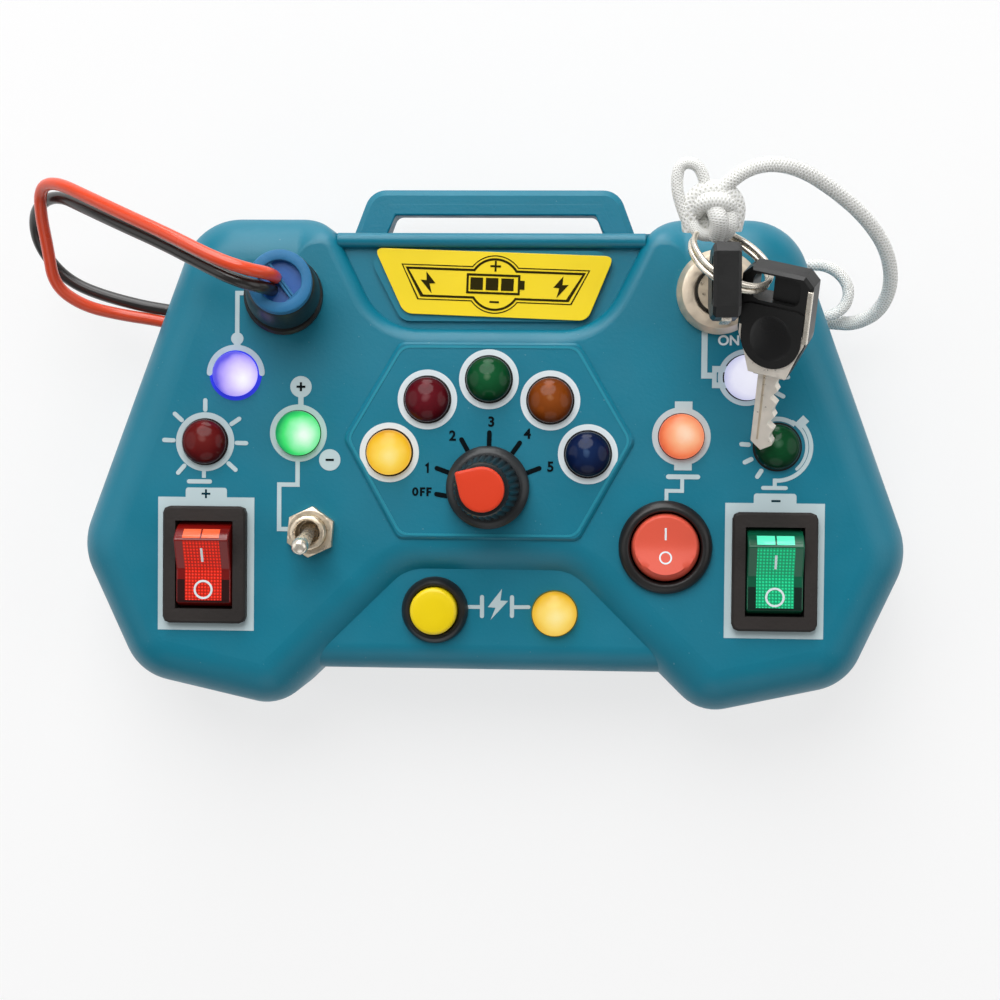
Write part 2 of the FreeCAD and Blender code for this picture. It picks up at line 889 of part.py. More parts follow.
def tilted_box(x, width, length, z0, z1):
    # A box in the paddle's own level, half-way between its two flats.
    pivot = face + rocker_rim - rocker_pivot_depth
    solid = block(x - width / 2, x + width / 2, rocker_y - length / 2, rocker_y + length / 2,
                  pivot + z0, pivot + z1)
    solid.rotate(Vector(x, rocker_y, pivot), Vector(1, 0, 0), rocker_throw / 2)
    return solid


def rocker_lens(x):
    pivot = face + rocker_rim - rocker_pivot_depth
    half = rocker_opening_width / 2 - rocker_gap
    roof = rocker_flat - rocker_skin
    pocket = tilted_box(x, insert_width + 2 * fit, insert_length + 2 * fit, -2 * rocker_belly, roof)
    lens = rocker_paddle_block(x).cut(pocket)
    reach = rocker_opening_width / 2 + rocker_pin_reach - running_gap
    inner = half - 0.5
    pins = [bar_x(rocker_y, pivot, rocker_pin_radius, x - reach, x - inner),
            bar_x(rocker_y, pivot, rocker_pin_radius, x + inner, x + reach)]
    return lens.fuse(pins)


def rocker_insert(x):
    roof = rocker_flat - rocker_skin - fit
    return tilted_box(x, insert_width, insert_length, roof - insert_depth, roof)


def round_rocker_frame():
    x = button_rocker_x
    y = button_rocker_y
    top = face + button_rocker_rim
    bottom = face - wall - button_rocker_depth
    frame = turned(x, y, [(button_rocker_barrel, bottom), (button_rocker_barrel, face),
                          (button_rocker_rim_radius, face), (button_rocker_rim_radius, top - button_rocker_bevel),
                          (button_rocker_rim_radius - button_rocker_bevel, top)], large_sides)
    pivot = top - button_rocker_pivot_depth
    reach = button_rocker_opening + 0.5
    pins = bar_x(y, pivot, button_rocker_pin_radius + running_gap, x - reach, x + reach)
    well = peg(x, y, button_rocker_opening, bottom + 2, top + 1, large_sides)
    return frame.cut([well, pins])


def round_rocker_paddle():
    x = button_rocker_x
    y = button_rocker_y
    pivot = face + button_rocker_rim - button_rocker_pivot_depth
    radius = button_rocker_radius
    heights = (-button_rocker_belly, 0, 0.5 * radius, 0.85 * radius)
    sides = [(math.sqrt(radius ** 2 - h ** 2), pivot + h) for h in heights]
    drum = turned(x, y, sides, large_sides)
    far = 2 * radius
    tilt = math.radians(button_rocker_throw)
    valley = button_rocker_flat * math.tan(tilt / 2)
    points = [(far, button_rocker_flat), (valley, button_rocker_flat),
              (-far, button_rocker_flat + (far + valley) * math.tan(tilt)), (-far, -far), (far, -far)]
    corners = [Vector(x - far, y + v, pivot + h) for v, h in points]
    envelope = flat_face(corners).extrude(Vector(2 * far, 0, 0))
    reach = button_rocker_opening + 0.5 - running_gap
    pins = [bar_x(y, pivot, button_rocker_pin_radius, x - reach, x - radius + 1),
            bar_x(y, pivot, button_rocker_pin_radius, x + radius - 1, x + reach)]
    return drum.common(envelope).fuse(pins)


def switch_terminals():
    blades = []

    def blade(x, y, top, width, thickness):
        blades.append(block(x - width / 2, x + width / 2, y - thickness / 2, y + thickness / 2,
                            top - terminal_length, top))

    for side in (-1, 1):
        bottom = face - rocker_body_depth - wall
        for offset in (-6.5, 0, 6.5):
            blade(side * rocker_x, rocker_y + offset, bottom, terminal_width, terminal_thickness)
    for offset in (-3.5, 3.5):
        blade(button_rocker_x, button_rocker_y + offset, face - wall - button_rocker_depth,
              terminal_width, terminal_thickness)
    for offset in (-4.7, 0, 4.7):
        blade(toggle_x, toggle_y + offset, face_under - toggle_body_depth, 2, terminal_thickness)
    return Part.makeCompound(blades)


# Toggle switch

def toggle_body():
    x = toggle_x
    y = toggle_y
    base = face_under
    body = block(x - toggle_body_width / 2, x + toggle_body_width / 2, y - toggle_body_length / 2,
                 y + toggle_body_length / 2, base - toggle_body_depth, base)
    top = face + toggle_bush_height
    bush = turned(x, y, [(toggle_bush_radius, base - 1), (toggle_bush_radius, top - 0.3),
                         (toggle_bush_radius - 0.3, top)], middle_sides)
    well = bore(x, y, toggle_bore_radius, base + 0.8, top + 1, middle_sides)
    pivot = face + toggle_pivot_height
    reach = toggle_bore_radius + 0.45
    pin = bar_x(y, pivot, toggle_pin_radius + running_gap, x - reach, x + reach)
    return body.fuse(bush).cut([well, pin])


def toggle_nut():
    x = toggle_x
    y = toggle_y
    top = face + toggle_nut_height
    nut = hexagon(x, y, toggle_nut_flats, face, top, toggle_nut_turn)
    nut = nut.common(turned(x, y, [(toggle_nut_flats * 0.6, face), (toggle_nut_flats * 0.6, top - 0.45),
                                   (toggle_nut_flats * 0.49, top)], middle_sides))
    return nut.cut(peg(x, y, toggle_bush_radius + thread_gap, face - 1, top + 1, middle_sides))


def toggle_lever():
    pivot = face + toggle_pivot_height
    tip = pivot + toggle_lever_length
    ball = toggle_ball_radius
    lever = turned(toggle_x, toggle_y, [
        (0.55 * ball, pivot - 0.8 * ball), (ball, pivot), (toggle_root_radius, pivot + ball),
        (toggle_tip_radius, tip - 0.6 * toggle_tip_radius), (0.55 * toggle_tip_radius, tip)], middle_sides)
    reach = toggle_bore_radius + 0.45 - running_gap
    lever = lever.fuse(bar_x(toggle_y, pivot, toggle_pin_radius, toggle_x - reach, toggle_x + reach))
    lever.rotate(Vector(toggle_x, toggle_y, pivot), Vector(1, 0, 0), toggle_throw / 2)
    return lever


# Rotary switch and knob

def dial_switch():
    half = dial_body_width / 2
    base = face_under
    body = block(dial_x - half, dial_x + half, dial_y - half, dial_y + half, base - dial_body_depth, base)
    top = dial_face + dial_bush_height
    bush = peg(dial_x, dial_y, dial_bush_radius, base - half / 2, top, middle_sides)
    well = bore(dial_x, dial_y, shaft_radius + thread_gap, base - dial_body_depth + 4, top + 1, middle_sides)
    return body.fuse(bush).cut(well)


def dial_nut():
    nut = hexagon(dial_x, dial_y, dial_nut_flats, dial_face, dial_face + dial_nut_height)
    return nut.cut(peg(dial_x, dial_y, dial_bush_radius + thread_gap, dial_face - 1, dial_face + 5, middle_sides))


def dial_shaft():
    return disc(dial_x, dial_y, shaft_radius, face_under - dial_body_depth + 4.2, dial_face + shaft_height)


def fluted_ring(radius, z):
    # Section of the grip: ridges and grooves take turns round it.
    points = []
    for k in range(2 * knob_flutes):
        angle = math.pi * k / knob_flutes
        r = radius * (1 - (knob_flute_share if k % 2 else 0))
        points.append(Vector(dial_x + r * math.cos(angle), dial_y + r * math.sin(angle), z))
    return points


def knob():
    base = dial_face + knob_lift
    flange_top = base + knob_flange_height
    bevel = knob_flange_bevel
    radius = knob_flange_radius
    flange = turned(dial_x, dial_y, [(radius, base), (radius, flange_top - bevel),
                                     (radius - bevel * 1.2, flange_top)], large_sides)
    top = base + knob_height
    grip = joined([fluted_ring(knob_base_radius, flange_top - 0.2), fluted_ring(knob_top_radius, top)])
    hollow = bore(dial_x, dial_y, knob_hollow_radius, base - 1, base + knob_hollow_depth, middle_sides)
    seat = bore(dial_x, dial_y, shaft_radius + thread_gap, base - 1, dial_face + shaft_height + 0.4, middle_sides)
    return flange.fuse(grip).cut([hollow, seat])


def knob_cap():
    # A disc drawn out to a pointer.
    z0 = dial_face + knob_lift + knob_height
    half = math.degrees(math.acos(cap_radius / cap_pointer))
    steps = middle_sides
    turns = [half + (360 - 2 * half) * k / steps for k in range(steps + 1)]
    outline = [(cap_pointer, 0)] + [(cap_radius, turn) for turn in turns]
    points = []
    for radius, turn in outline:
        angle = math.radians(cap_angle + turn)
        points.append(Vector(dial_x + radius * math.cos(angle), dial_y + radius * math.sin(angle), z0))
    cap = flat_face(points).extrude(Vector(0, 0, cap_height))
    return cap.makeChamfer(cap_chamfer, edges_at(cap, z0 + cap_height))


# Push button

def push_housing():
    bottom = floor - push_barrel_depth
    top = floor + push_rim_height
    shape = turned(push_x, push_y, [
        (push_barrel_radius, bottom), (push_barrel_radius, floor), (push_rim_radius, floor),
        (push_rim_radius, floor + 0.6), (push_rim_top_radius, top)], large_sides)
    return shape.cut(peg(push_x, push_y, push_bore_radius, bottom + push_barrel_floor, top + 1, large_sides))


def push_cap():
    top = floor + push_rim_height + push_cap_rise
    radius = push_bore_radius - 2 * running_gap
    low = top - push_cap_rise - push_cap_height
    return turned(push_x, push_y, [(radius, low), (radius, top - 0.5), (radius - 0.5, top)], large_sides)


def push_spring():
    top = floor + push_rim_height - push_cap_height
    low = floor - push_barrel_depth + push_barrel_floor
    sleeve = peg(push_x, push_y, spring_radius, low, top, small_sides)
    return sleeve.cut(peg(push_x, push_y, spring_radius - spring_wall, low - 1, top + 1, small_sides))


# Nuts behind the panel

def panel_nut(x, y, flats, radius, height, under):
    nut = hexagon(x, y, flats, under - height, under)
    return nut.cut(bore(x, y, radius + thread_gap, under - height - 1, under + 1, small_sides))


def panel_nuts():
    return Part.makeCompound([
        panel_nut(push_x, push_y, push_nut_flats, push_barrel_radius, push_nut_height, floor_under),
        panel_nut(lock_x, lock_y, lock_nut_flats, lock_barrel_radius, lock_nut_height, face_under),
        panel_nut(socket_x, socket_y, socket_nut_flats, socket_barrel_radius, socket_nut_height, face_under),
    ])


# Key switch and keys

def lock_barrel():
    bottom = face - lock_barrel_depth
    rim = face + lock_head_rim
    top = face + lock_head_height
    shape = turned(lock_x, lock_y, [
        (lock_barrel_radius, bottom), (lock_barrel_radius, face), (lock_head_radius, face),
        (lock_head_radius, rim), (lock_face_radius, top)], large_sides)
    return shape.cut(bore(lock_x, lock_y, lock_bore_radius, bottom + 1.5, top + 1, middle_sides))


def lock_cylinder():
    top = face + lock_cylinder_rise
    body = disc(lock_x, lock_y, lock_bore_radius - thread_gap, top - lock_cylinder_length, top)
    wide = key_plate / 2 + keyway_gap
    long = key_blade_width / 2 + keyway_gap
    slot = block(lock_x - wide, lock_x + wide, lock_y - long, lock_y + long,
                 top - lock_cylinder_length + 2, top + 1)
    return body.cut(slot)


def bow_outline():
    half = bow_width / 2
    waist = -bow_length * 0.62
    foot = bow_foot_width / 2
    return [(-foot, -bow_length, 0), (foot, -bow_length, 0), (half, waist, bow_round),
            (half, -bow_corner, 0), (half - bow_corner, 0, 0),
            (-half + bow_corner, 0, 0), (-half, -bow_corner, 0), (-half, waist, bow_round)]


def key_bow():
    # Moulded grip round the key's plate, drawn lying flat with the blade towards -Y.
    half = bow_thickness / 2
    bow = prism(bow_outline(), -half, half)
    bow = bow.makeChamfer(bow_edge, edges_at(bow, half) + edges_at(bow, -half))
    slot = rectangle(0, bow_hole_y, bow_hole_width, bow_hole_height, bow_hole_corner)
    hole = eased_prism(slot, -half - 1, half + 1)
    oval = [Vector(p.x * dish_width / 2, dish_y + p.y * dish_length / 2, half - dish_depth)
            for p in ring_points(0, 0, 1, 0, middle_sides)]
    dish = flat_face(oval).extrude(Vector(0, 0, dish_depth + 1))
    plate = key_head(keyway_gap)
    return bow.cut([hole, dish, plate])


def key_head(gap):
    # The plate's wide end, held inside the grip, with the same slot through it.
    half = bow_width / 2 - bow_skin + gap
    thick = key_plate / 2 + gap / 2
    low = -bow_length * 0.62
    foot = bow_foot_width / 2 - bow_skin / 2 + gap
    top = bow_hole_y - bow_hole_height / 2 - 1.0 + gap
    points = [Vector(-foot, -bow_length - 1, -thick), Vector(foot, -bow_length - 1, -thick),
              Vector(half, low, -thick), Vector(half, top, -thick),
              Vector(-half, top, -thick), Vector(-half, low, -thick)]
    return flat_face(points).extrude(Vector(0, 0, 2 * thick))


def key_blade(width, length, notches):
    # Flat plate with a bitted edge; its head is held in the grip.
    half = width / 2
    tip = -bow_length - length
    points = [(-half, -bow_length + 2), (-half, tip + key_blade_tip), (0, tip), (half, tip + key_blade_tip)]
    step = (length - 2 * key_blade_tip) / notches
    for k in range(notches):
        y = tip + key_blade_tip + (k + 0.25) * step
        depth = notch_share * width * (1 + k % 2)
        points += [(half, y), (half - depth, y + step * 0.3), (half - depth, y + step * 0.45)]
    points += [(half, -bow_length - 0.5 * key_blade_tip), (half, -bow_length + 2)]
    corners = [Vector(x, y, -key_plate / 2) for x, y in points]
    blade = flat_face(corners).extrude(Vector(0, 0, key_plate))
    return blade.fuse(key_head(0)).removeSplitter()


def stand_in_lock(shape):
    # Blade straight down in the keyway, width along Y, grip standing above the lock.
    shape.rotate(Vector(0, 0, 0), Vector(1, 0, 0), 90)
    shape.rotate(Vector(0, 0, 0), up, 90)
    shape.translate(Vector(lock_x, lock_y, face + key_top_height))
    return shape


def ring_axes():
    # Along the ring's level radius, down its sloping radius, and square to both.
    heading = math.radians(ring_heading)
    tilt = math.radians(ring_tilt)
    level = Vector(math.cos(heading), math.sin(heading), 0)
    side = Vector(-math.sin(heading), math.cos(heading), 0)
    down = side * math.cos(tilt) - up * math.sin(tilt)
    return level, down, level.cross(down)


def ring_centre():
    # The ring hangs in the slot of the key that stands in the lock.
    level, down, square = ring_axes()
    slot = Vector(lock_x, lock_y, face + key_top_height + bow_hole_y)
    return slot + ring_play + down * ring_radius


def hang_on_ring(shape):
    level, down, square = ring_axes()
    hang = ring_centre() + level * ring_radius
    turn = Rotation(up, spare_heading)
    turn = turn.multiply(Rotation(Vector(1, 0, 0), spare_dip))
    turn = turn.multiply(Rotation(Vector(0, 1, 0), -spare_roll))
    shape.translate(Vector(-spare_hole_offset, -bow_hole_y, 0))
    shape.Placement = FreeCAD.Placement(hang, turn).multiply(shape.Placement)
    return shape


def key_ring():
    level, down, square = ring_axes()
    inner = ring_radius - ring_wire / 2
    outer = ring_radius + ring_wire / 2
    half = ring_height / 2
    section = [(inner, -half), (outer, -half), (outer, half), (inner, half)]
    rings = []
    for k in range(ring_sides):
        angle = 2 * math.pi * k / ring_sides
        spoke = level * math.cos(angle) + down * math.sin(angle)
        rings.append([ring_centre() + spoke * r + square * h for r, h in section])
    return joined(rings, closed=True)


# Socket and plug

def plug_axis():
    heading = math.radians(plug_lean_heading)
    return Vector(-math.sin(heading), math.cos(heading), 0)


def leaning(shape):
    shape.rotate(Vector(socket_x, socket_y, face), plug_axis(), plug_lean)
    return shape


def jack_socket():
    bottom = face - socket_barrel_depth
    top = face + socket_rim_height
    radius = socket_rim_radius
    shape = turned(socket_x, socket_y, [
        (socket_barrel_radius, bottom), (socket_barrel_radius, face), (radius, face),
        (radius, top - 0.5), (radius - 0.5, top)], large_sides)
    return shape.cut(peg(socket_x, socket_y, socket_bore_radius, bottom + 1.5, top + 1, middle_sides))


def plug_body():
    z = face
    shape = turned(socket_x, socket_y, [
        (plug_foot_radius - 0.6, z + plug_foot), (plug_foot_radius, z + plug_foot + 0.8),
        (plug_waist_radius, z + plug_waist)], large_sides)
    hole = peg(socket_x, socket_y, pin_radius + thread_gap, z, z + plug_foot + pin_root, middle_sides)
    return leaning(shape.cut(hole))


def plug_pin():
    z = face
    tip = z + plug_foot - pin_length
    shape = turned(socket_x, socket_y, [
        (pin_radius - 0.8, tip), (pin_radius, tip + 1), (pin_radius, z + plug_foot + pin_root)], middle_sides)
    return leaning(shape)


def plug_insert():
    z = face
    top = z + plug_top
    ring = turned(socket_x, socket_y, [
        (plug_cap_radius, z + plug_waist), (plug_cap_radius, top - 0.3), (plug_cap_radius - 0.3, top),
        (plug_cup_radius, top), (plug_cup_radius, top - plug_cup_depth)], large_sides)
    half = plug_web / 2
    web = block(socket_x - half, socket_x + half, socket_y - plug_cup_radius, socket_y + plug_cup_radius,
                top - plug_cup_depth - 0.2, top - 0.5)
    return leaning(ring.fuse(web))


# Cords

def cord(name, points, radius, sides):
    # A faceted tube on straight runs joined by tangent arcs, each as large as its runs allow.
    places = [Vector(*p) for p in points]
    way = (places[1] - places[0]).normalize()
    side = way.cross(up if abs(way.z) < 0.9 else Vector(1, 0, 0)).normalize()
    spokes = [Rotation(way, 360.0 * k / sides).multVec(side) * radius for k in range(sides)]
    rings = []

    def ring_at(centre):
        rings.append([centre + spoke for spoke in spokes])

    ring_at(places[0])
    length = 0
    last = places[0]
    radii = []
    for before, corner, after in zip(places, places[1:], places[2:]):
        back = before - corner
        ahead = after - corner
        reach = 0.45 * min(back.Length, ahead.Length)
        back.normalize()
        ahead.normalize()
        turn = math.pi - back.getAngle(ahead)
        bend = reach / math.tan(turn / 2)
        radii.append(bend)
        start = corner + back * reach
        centre = corner + (back + ahead).normalize() * (bend / math.cos(turn / 2))
        axis = ahead.cross(back).normalize()
        steps = max(1, math.ceil(math.degrees(turn) / bend_step))
        arm = start - centre
        ring_at(start)
        for k in range(steps):
            step = Rotation(axis, math.degrees(turn) / steps)
            spokes = [step.multVec(spoke) for spoke in spokes]
            arm = step.multVec(arm)
            ring_at(centre + arm)
        length += (start - last).Length + bend * turn
        last = corner + ahead * reach
    ring_at(places[-1])
    length += (places[-1] - last).Length
    tube = joined(rings)
    section = sides / 2 * radius ** 2 * math.sin(2 * math.pi / sides)
    print(name, "length", round(length, 1), "radii", [round(r, 1) for r in radii],
          "volume", round(tube.Volume, 1), "against", round(section * length, 1))
    return tube


red_route = [
    (-35.4, 30.3, 42.0), (-35.2, 30.9, 47.0), (-38.6, 31.9, 50.6), (-44.6, 33.5, 50.0),
    (-53.1, 36.9, 47.6), (-62.3, 41.4, 43.4), (-71.2, 45.3, 37.8), (-78.6, 47.7, 30.2),
    (-82.6, 46.0, 23.2), (-82.7, 39.6, 20.2), (-80.4, 32.6, 18.9), (-74.6, 27.5, 17.0),
    (-66.8, 25.2, 15.2), (-60.0, 23.6, 14.5), (-57.0, 22.9, 14.5),
]
black_route = [
    (-36.4, 27.4, 42.0), (-37.2, 27.4, 46.4), (-41.4, 28.3, 48.9), (-47.6, 30.6, 47.6),
    (-56.0, 34.6, 45.0), (-64.3, 38.5, 41.8), (-72.1, 42.3, 38.2), (-78.7, 44.9, 33.8),
    (-83.4, 43.3, 27.4), (-85.1, 37.8, 19.6), (-82.9, 33.3, 15.7), (-76.5, 30.2, 14.8),
    (-68.0, 27.9, 14.5), (-60.6, 26.2, 14.5), (-57.4, 25.5, 14.5),
]
rope_route = [
    (40.6, 43.4, 47.6), (43.6, 46.6, 49.4), (48.9, 48.5, 49.0), (54.5, 48.0, 46.6),
    (60.6, 45.9, 41.6), (66.5, 42.5, 35.4), (71.0, 37.4, 28.4), (72.8, 31.4, 22.2),
    (71.2, 26.4, 17.4), (66.8, 24.4, 14.0), (62.4, 24.6, 12.8), (58.4, 24.9, 12.8),
]
loop_route = [
    (55.2, 33.6, 14.6), (58.2, 34.8, 15.0), (61.5, 33.7, 15.4), (63.9, 31.0, 15.8),
    (63.8, 28.0, 16.1), (61.4, 26.2, 16.1), (58.6, 25.6, 16.1),
]
tail_route = [
    (37.2, 43.2, 47.4), (35.6, 46.2, 48.4), (33.0, 47.7, 48.8), (30.6, 46.4, 48.4),
    (30.0, 43.4, 47.6), (31.6, 40.6, 46.8), (35.0, 39.0, 46.0),
]


def rope_knot():
    # Stubby faceted barrel, tied round the key ring.
    way = Vector(0.12, 0.98, 0.15).normalize()
    side = way.cross(up).normalize()
    steps = 4
    rings = []
    for k in range(steps + 1):
        along = -1 + 2 * k / steps
        radius = knot_radius * math.sqrt(1 - 0.72 * along ** 2)
        centre = knot_centre + way * (along * knot_length / 2)
        rings.append([centre + Rotation(way, 360.0 * n / rope_sides).multVec(side) * radius
                      for n in range(rope_sides)])
    return joined(rings).cut(key_ring())


# Assembly

parts["front_shell"] = front_shell()
parts["back_shell"] = back_shell()
parts["shell_screws"] = shell_screws()
parts["battery_door"] = battery_door()
parts["battery_door_screw"] = battery_door_screw()
parts["battery_cells"] = battery_cells()
parts["battery_contacts"] = battery_contacts()
parts["label_plate"] = label_plate()
for name, x, y, z in lamp_places():
    parts[name] = lamp(x, y, z)
parts["lamp_leads"] = lamp_leads()
for name, x in (("red_rocker", -rocker_x), ("green_rocker", rocker_x)):
    parts[name + "_frame"] = rocker_frame(x)
    parts[name + "_lens"] = rocker_lens(x)
    parts[name + "_insert"] = rocker_insert(x)
parts["round_rocker_frame"] = round_rocker_frame()
parts["round_rocker_paddle"] = round_rocker_paddle()
parts["switch_terminals"] = switch_terminals()
parts["toggle_body"] = toggle_body()
parts["toggle_nut"] = toggle_nut()
parts["toggle_lever"] = toggle_lever()
parts["dial_switch"] = dial_switch()
parts["dial_nut"] = dial_nut()
parts["dial_shaft"] = dial_shaft()
parts["knob"] = knob()
parts["knob_cap"] = knob_cap()
parts["push_housing"] = push_housing()
parts["push_cap"] = push_cap()
parts["push_spring"] = push_spring()
parts["lock_barrel"] = lock_barrel()
parts["lock_cylinder"] = lock_cylinder()
parts["key_blade"] = stand_in_lock(key_blade(key_blade_width, key_blade_length, 4))
parts["key_bow"] = stand_in_lock(key_bow())
parts["key_ring"] = key_ring()
parts["spare_key_blade"] = hang_on_ring(key_blade(spare_blade_width, spare_blade_length, 5))
parts["spare_key_bow"] = hang_on_ring(key_bow())
parts["jack_socket"] = jack_socket()
parts["panel_nuts"] = panel_nuts()
parts["plug_body"] = plug_body()
parts["plug_pin"] = plug_pin()
parts["plug_insert"] = plug_insert()
parts["rope_knot"] = rope_knot()
parts["rope"] = cord("rope", rope_route, rope_radius, rope_sides).cut(parts["rope_knot"])
parts["rope_loop"] = cord("rope loop", loop_route, rope_radius, rope_sides)
parts["rope_tail"] = cord("rope tail", tail_route, rope_radius, rope_sides).cut(parts["rope_knot"])
parts["wire_red"] = cord("red wire", red_route, wire_radius, wire_sides).cut(parts["plug_insert"])
parts["wire_black"] = cord("black wire", black_route, wire_radius, wire_sides).cut(parts["plug_insert"])

lowest_y = outline_lowest()
shift = Vector(0, -(handle_top_y + lowest_y) / 2, 0)
print("outline lowest", round(lowest_y, 3), "shift", round(shift.y, 4))
for name, shape in parts.items():
    shape = shape.copy()
    shape.translate(shift)
    if not shape.isValid() or shape.Volume <= 0:
        print("check", name, shape.isValid(), shape.Volume)
    shape.exportStep("parts/" + name + ".step")
print(len(parts), "nodes")
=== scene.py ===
from math import acos, asin, atan2, cos, degrees, exp, log1p, pi, radians, sin, sqrt, tan

import bmesh
import bpy
from mathutils import Matrix, Vector


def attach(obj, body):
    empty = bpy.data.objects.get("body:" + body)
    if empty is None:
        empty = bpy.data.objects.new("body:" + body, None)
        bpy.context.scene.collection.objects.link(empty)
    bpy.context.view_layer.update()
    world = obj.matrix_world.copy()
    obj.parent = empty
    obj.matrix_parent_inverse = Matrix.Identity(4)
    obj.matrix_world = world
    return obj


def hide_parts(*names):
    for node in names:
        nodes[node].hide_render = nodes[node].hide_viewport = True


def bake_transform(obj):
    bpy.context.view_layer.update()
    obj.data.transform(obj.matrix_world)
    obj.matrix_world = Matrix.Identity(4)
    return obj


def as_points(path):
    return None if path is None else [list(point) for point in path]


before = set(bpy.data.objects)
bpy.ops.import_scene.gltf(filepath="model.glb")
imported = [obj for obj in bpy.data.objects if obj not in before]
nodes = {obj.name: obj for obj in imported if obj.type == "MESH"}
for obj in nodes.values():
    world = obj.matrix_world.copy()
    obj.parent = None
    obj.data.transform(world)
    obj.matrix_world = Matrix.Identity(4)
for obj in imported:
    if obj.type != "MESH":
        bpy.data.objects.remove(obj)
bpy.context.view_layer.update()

# Heights in millimetres: the panel, its raised face, the pit with the push button, and the label
FACE = 29.0
DIAL = 29.7
FLOOR = 26.4
LABEL = 27.8
MM = 0.001

# Middles of the switches, the plug and the lock on the panel, as in the CAD
ROCKER = (50.85, -20.45)
ROUND_ROCKER = (31.6, -16.36)
TOGGLE = (-31.75, -14.37)
KNOB = (0, -6.07)
PUSH = (-9.6, -28.3)
PLUG = (-36.95, 27.92)
LOCK = (40.46, 28.8)

# From the CAD's first origin to the middle of the outline
SHIFT = -0.9027

# The camera's place, its focal length in pixels of a picture 1000 wide, and its turns in degrees
CAMERA = (22.8, 2.1, 369.0)
FOCAL = 1910.7
TURNS = (("Z", -0.52), ("X", 1.75), ("Y", -3.48))


def at(x, y, z):
    return Vector((x, y + SHIFT, z)) * MM


# Materials

def linear(rgb):
    out = []
    for c in rgb:
        c = c / 255
        out.append(c / 12.92 if c <= 0.04045 else ((c + 0.055) / 1.055) ** 2.4)
    return (*out, 1)


def grey(value):
    return (value, value, value, 1)


def shade(rgb, factor):
    return tuple(min(1, c * factor) for c in rgb[:3]) + (1,)


class Look:
    """A node material under construction."""

    def __init__(self, name):
        self.material = bpy.data.materials.new(name)
        self.material.use_nodes = True
        self.tree = self.material.node_tree
        self.shader = self.tree.nodes["Principled BSDF"]
        self.where = self.tree.nodes.new("ShaderNodeTexCoord").outputs["Object"]

    def feed(self, entry, value):
        # An input takes another node's output, or a plain value.
        if isinstance(value, bpy.types.NodeSocket):
            self.tree.links.new(value, entry)
        else:
            entry.default_value = value

    def set(self, **inputs):
        for key, value in inputs.items():
            self.feed(self.shader.inputs[key.replace("_", " ")], value)

    def add(self, kind, **inputs):
        node = self.tree.nodes.new("ShaderNode" + kind)
        for key, value in inputs.items():
            self.feed(node.inputs[key.replace("_", " ")], value)
        return node

    def noise(self, scale, detail=2, stretch=(1, 1, 1)):
        place = self.add("Mapping", Vector=self.where, Scale=stretch)
        noise = self.add("TexNoise", Vector=place.outputs[0], Scale=scale, Detail=detail)
        return noise.outputs[0]

    def ramp(self, value, stops):
        node = self.add("ValToRGB", Fac=value)
        ramp = node.color_ramp
        while len(ramp.elements) < len(stops):
            ramp.elements.new(0.5)
        for element, (place, colour) in zip(ramp.elements, stops):
            element.position = place
            element.color = colour
        return node.outputs[0]

    def maths(self, operation, a, b):
        node = self.add("Math")
        node.operation = operation
        self.feed(node.inputs[0], a)
        self.feed(node.inputs[1], b)
        return node.outputs[0]

    def distance(self, centre, reach):
        # 0 at the centre and 1 at the reach, in metres.
        node = self.add("VectorMath")
        node.operation = "DISTANCE"
        self.feed(node.inputs[0], self.where)
        self.feed(node.inputs[1], centre)
        return self.maths("DIVIDE", node.outputs["Value"], reach)

    def wave(self, axis, pitch):
        # The texture's bands repeat every 0.314 metres at scale 1.
        node = self.add("TexWave", Vector=self.where, Scale=0.314 / pitch)
        node.bands_direction = axis
        return node.outputs[1]

    def mix(self, factor, one, two):
        node = self.add("Mix")
        node.data_type = "RGBA"
        for k, value in ((0, factor), (6, one), (7, two)):
            self.feed(node.inputs[k], value)
        return node.outputs[2]

    def bump(self, height, strength, mm):
        node = self.add("Bump", Height=height, Strength=strength, Distance=mm * MM)
        self.set(Normal=node.outputs[0])


def plastic(name, rgb, rough=0.45, grain=2600, depth=0.03, mottle=0.12, shine=0.4, coat=0, dust=0):
    # Mottled colour under a fine grain; dust adds pale specks.
    look = Look(name)
    base = linear(rgb)
    broad = look.noise(60, 3)
    colour = look.ramp(broad, [(0.3, shade(base, 1 - mottle)), (0.7, shade(base, 1 + mottle))])
    if dust:
        share = look.ramp(look.noise(1900, 0), [(0.85, grey(0)), (0.89, grey(dust))])
        colour = look.mix(share, colour, (0.55, 0.68, 0.70, 1))
    worn = [(0.35, grey(rough * 0.88)), (0.65, grey(min(1, rough * 1.12)))]
    look.set(Base_Color=colour, Roughness=look.ramp(look.noise(90, 2), worn), Specular_IOR_Level=shine)
    look.bump(look.noise(grain, 2), 0.5, depth)
    if coat:
        look.set(Coat_Weight=coat, Coat_Roughness=0.12)
    return look


def metal(name, rgb, rough=0.2, dark=0.78, share=1, stretch=(1, 1, 1)):
    # Metal with darker tarnish and fine scratches; the share says how metallic it is.
    look = Look(name)
    base = linear(rgb)
    colour = look.ramp(look.noise(220, 4), [(0.35, shade(base, dark)), (0.62, base)])
    scratch = look.noise(900, 3, stretch)
    worn = look.ramp(scratch, [(0.3, grey(rough * 0.7)), (0.7, grey(rough * 1.5))])
    look.set(Base_Color=colour, Roughness=worn, Metallic=share)
    look.bump(scratch, 0.25, 0.02)
    return look


